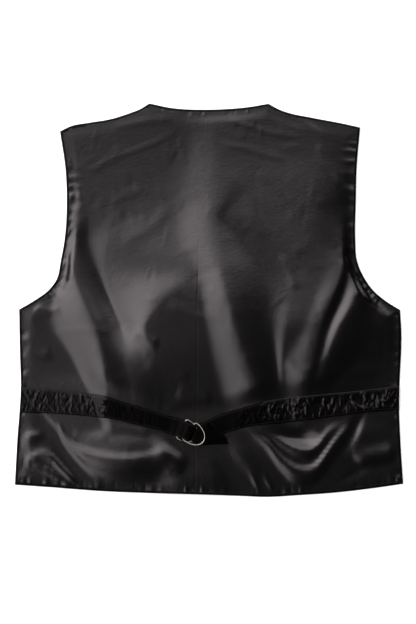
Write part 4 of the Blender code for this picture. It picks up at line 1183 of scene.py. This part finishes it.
class VestClothSettings(bpy.types.PropertyGroup):
    """Sizes of the cloth"""
    satin_thickness: bpy.props.FloatProperty(
        name="Satin thickness", description="Thickness of the back's cloth",
        default=0.0009, min=0.0002, max=0.0011, precision=4, unit="LENGTH")
    stitch_pitch: bpy.props.FloatProperty(
        name="Stitch pitch", description="Distance from one stitch to the next",
        default=0.0034, min=0.0015, precision=4, unit="LENGTH")
    stitch_length: bpy.props.FloatProperty(
        name="Stitch length", description="Length of the thread that shows in a stitch",
        default=0.0022, min=0.0008, precision=4, unit="LENGTH")
    thread_width: bpy.props.FloatProperty(
        name="Thread width", description="Width of the sewing thread",
        default=0.0006, min=0.0002, precision=4, unit="LENGTH")


class VestStageSettings(bpy.types.PropertyGroup):
    """Floor, lights and camera"""
    floor_colour: bpy.props.FloatVectorProperty(
        name="Floor colour", description="Colour of the surface under the vest",
        default=(0.9, 0.9, 0.9), min=0.0, max=1.0, subtype="COLOR")
    light_radiance: bpy.props.FloatProperty(
        name="Light strength", description="Brightness of each soft light's face",
        default=2.6, min=0.0)
    camera_height: bpy.props.FloatProperty(
        name="Camera height", description="Height of the camera over the vest",
        default=4.9, min=1.0, unit="LENGTH")


def wear(piece, slot, *nodes):
    """Hands a finished piece to the frame."""
    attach(piece, BODY)
    if nodes:
        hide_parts(*nodes)


class VEST_OT_back(bpy.types.Operator):
    """Make the two satin back panels"""
    bl_idname = "vest.back"
    bl_label = "Back"

    def execute(self, context):
        thickness = context.scene.vest_cloth.satin_thickness / MM
        for side in ("left", "right"):
            piece = make_back(side, thickness)
            wear(piece, "satin", "back_" + side)
        return {"FINISHED"}


class VEST_OT_strap(bpy.types.Operator):
    """Make both halves of the cinch strap"""
    bl_idname = "vest.strap"
    bl_label = "Cinch strap"

    def execute(self, context):
        STITCH_PATHS.clear()
        for side, make in (("left", make_left_strap), ("right", make_right_strap)):
            piece, outer = make()
            wear(piece, "strap_satin", "strap_" + side)
            STITCH_PATHS.extend(outer[4:-4, column] for column in STITCH_COLUMNS)
        return {"FINISHED"}


class VEST_OT_rings(bpy.types.Operator):
    """Make the D-rings of the cinch buckle"""
    bl_idname = "vest.rings"
    bl_label = "D-rings"

    def execute(self, context):
        for name in RINGS:
            wear(make_ring(name), "steel", name)
        return {"FINISHED"}


class VEST_OT_fronts(bpy.types.Operator):
    """Make the suede fronts and their buttons"""
    bl_idname = "vest.fronts"
    bl_label = "Fronts and buttons"

    def execute(self, context):
        for side in ("left", "right"):
            piece = make_front(side)
            wear(piece, "suede", "front_" + side)
        for number, y in enumerate(BUTTON_Y, 1):
            wear(make_button(number, y), "button", "button_%d" % number)
        return {"FINISHED"}


class VEST_OT_sewing(bpy.types.Operator):
    """Sew along the turned edges and the strap"""
    bl_idname = "vest.sewing"
    bl_label = "Sewing"

    def execute(self, context):
        edges = [inset_path(x_run(HEM, HEM[0][0], HEM[-1][0], 60), 300),
                 inset_path(x_run(NECK, NECK[-1][0], NECK[0][0], 40), 120),
                 inset_path(ARMHOLE["left"][::-1], 220), inset_path(ARMHOLE["right"], 220)]
        cloth = context.scene.vest_cloth
        wear(sew("edge_stitches", edges, cloth), "satin")
        wear(sew("strap_stitches", STITCH_PATHS, cloth), "strap_satin")
        return {"FINISHED"}


class VEST_OT_stage(bpy.types.Operator):
    """Make the floor, the lights and the camera"""
    bl_idname = "vest.stage"
    bl_label = "Floor, lights and camera"

    def execute(self, context):
        stage = context.scene.vest_stage
        make_floor(stage.floor_colour)
        for name, (heading, near, far, spread, share) in LIGHTS.items():
            make_window(name, heading, near, far, spread, stage.light_radiance * share)
        make_camera(stage.camera_height)
        return {"FINISHED"}


def make_floor(colour):
    """The pale surface under the vest."""
    material, shader = new_material("pale floor", tuple(colour), 0.9, 0.1)
    shader.inputs["Emission Color"].default_value = (1, 1, 1, 1)
    shader.inputs["Emission Strength"].default_value = FLOOR_GLOW
    mesh = bpy.data.meshes.new("floor")
    corners = [(x * FLOOR_HALF, y * FLOOR_HALF, -FLOOR_DROP) for x, y in ((-1, -1), (1, -1), (1, 1), (-1, 1))]
    mesh.from_pydata(corners, [], [(0, 1, 2, 3)])
    mesh.materials.append(material)
    add_object("floor", mesh)


def make_window(name, heading, near, far, spread, radiance, distance=9.0):
    """A soft light whose face spans near to far degrees off the vertical."""
    tilt, turn = math.radians((near + far) / 2), math.radians(heading)
    half = distance * math.tan(math.radians((far - near) / 2))
    long_half = distance * math.tan(math.radians(spread))
    light = bpy.data.lights.new(name, "AREA")
    light.shape = "RECTANGLE"
    light.size, light.size_y = 2 * half, 2 * long_half
    light.energy = radiance * math.pi * 4 * half * long_half
    lamp = add_object(name, light)
    lamp.location = (distance * math.sin(tilt) * math.cos(turn), distance * math.sin(tilt) * math.sin(turn),
                     distance * math.cos(tilt))
    lamp.rotation_euler = (0, tilt, turn)


def make_camera(height):
    """A camera straight above the vest."""
    bpy.context.scene.view_settings.view_transform = "Standard"
    camera = bpy.data.cameras.new("camera")
    camera.sensor_width = SENSOR
    camera.lens = SENSOR * height / VIEW_HEIGHT
    camera.clip_end = 100.0
    eye = add_object("camera", camera)
    eye.location = (*CAMERA_XY, height)
    bpy.context.scene.camera = eye


class VEST_PT_panel(bpy.types.Panel):
    """Sizes, and a button for each group of pieces"""
    bl_idname = "VEST_PT_panel"
    bl_label = "Vest"
    bl_space_type = "VIEW_3D"
    bl_region_type = "UI"
    bl_category = "Vest"

    def draw(self, context):
        layout = self.layout
        for settings in (context.scene.vest_cloth, context.scene.vest_stage):
            box = layout.box()
            for name in settings.__annotations__:
                box.prop(settings, name)
        for operator in OPERATORS:
            layout.operator(operator.bl_idname)


SETTINGS = {"vest_cloth": VestClothSettings, "vest_stage": VestStageSettings}
OPERATORS = (VEST_OT_fronts, VEST_OT_back, VEST_OT_strap, VEST_OT_rings, VEST_OT_sewing, VEST_OT_stage)


def register():
    for made in (*SETTINGS.values(), *OPERATORS, VEST_PT_panel):
        bpy.utils.register_class(made)
    for name, settings in SETTINGS.items():
        setattr(bpy.types.Scene, name, bpy.props.PointerProperty(type=settings))


def unregister():
    for name in SETTINGS:
        delattr(bpy.types.Scene, name)
    for made in (VEST_PT_panel, *OPERATORS[::-1], *SETTINGS.values()):
        bpy.utils.unregister_class(made)


def main():
    register()
    for operator in OPERATORS:
        getattr(bpy.ops.vest, operator.bl_idname.split(".")[1])()


if __name__ == "__main__":
    main()
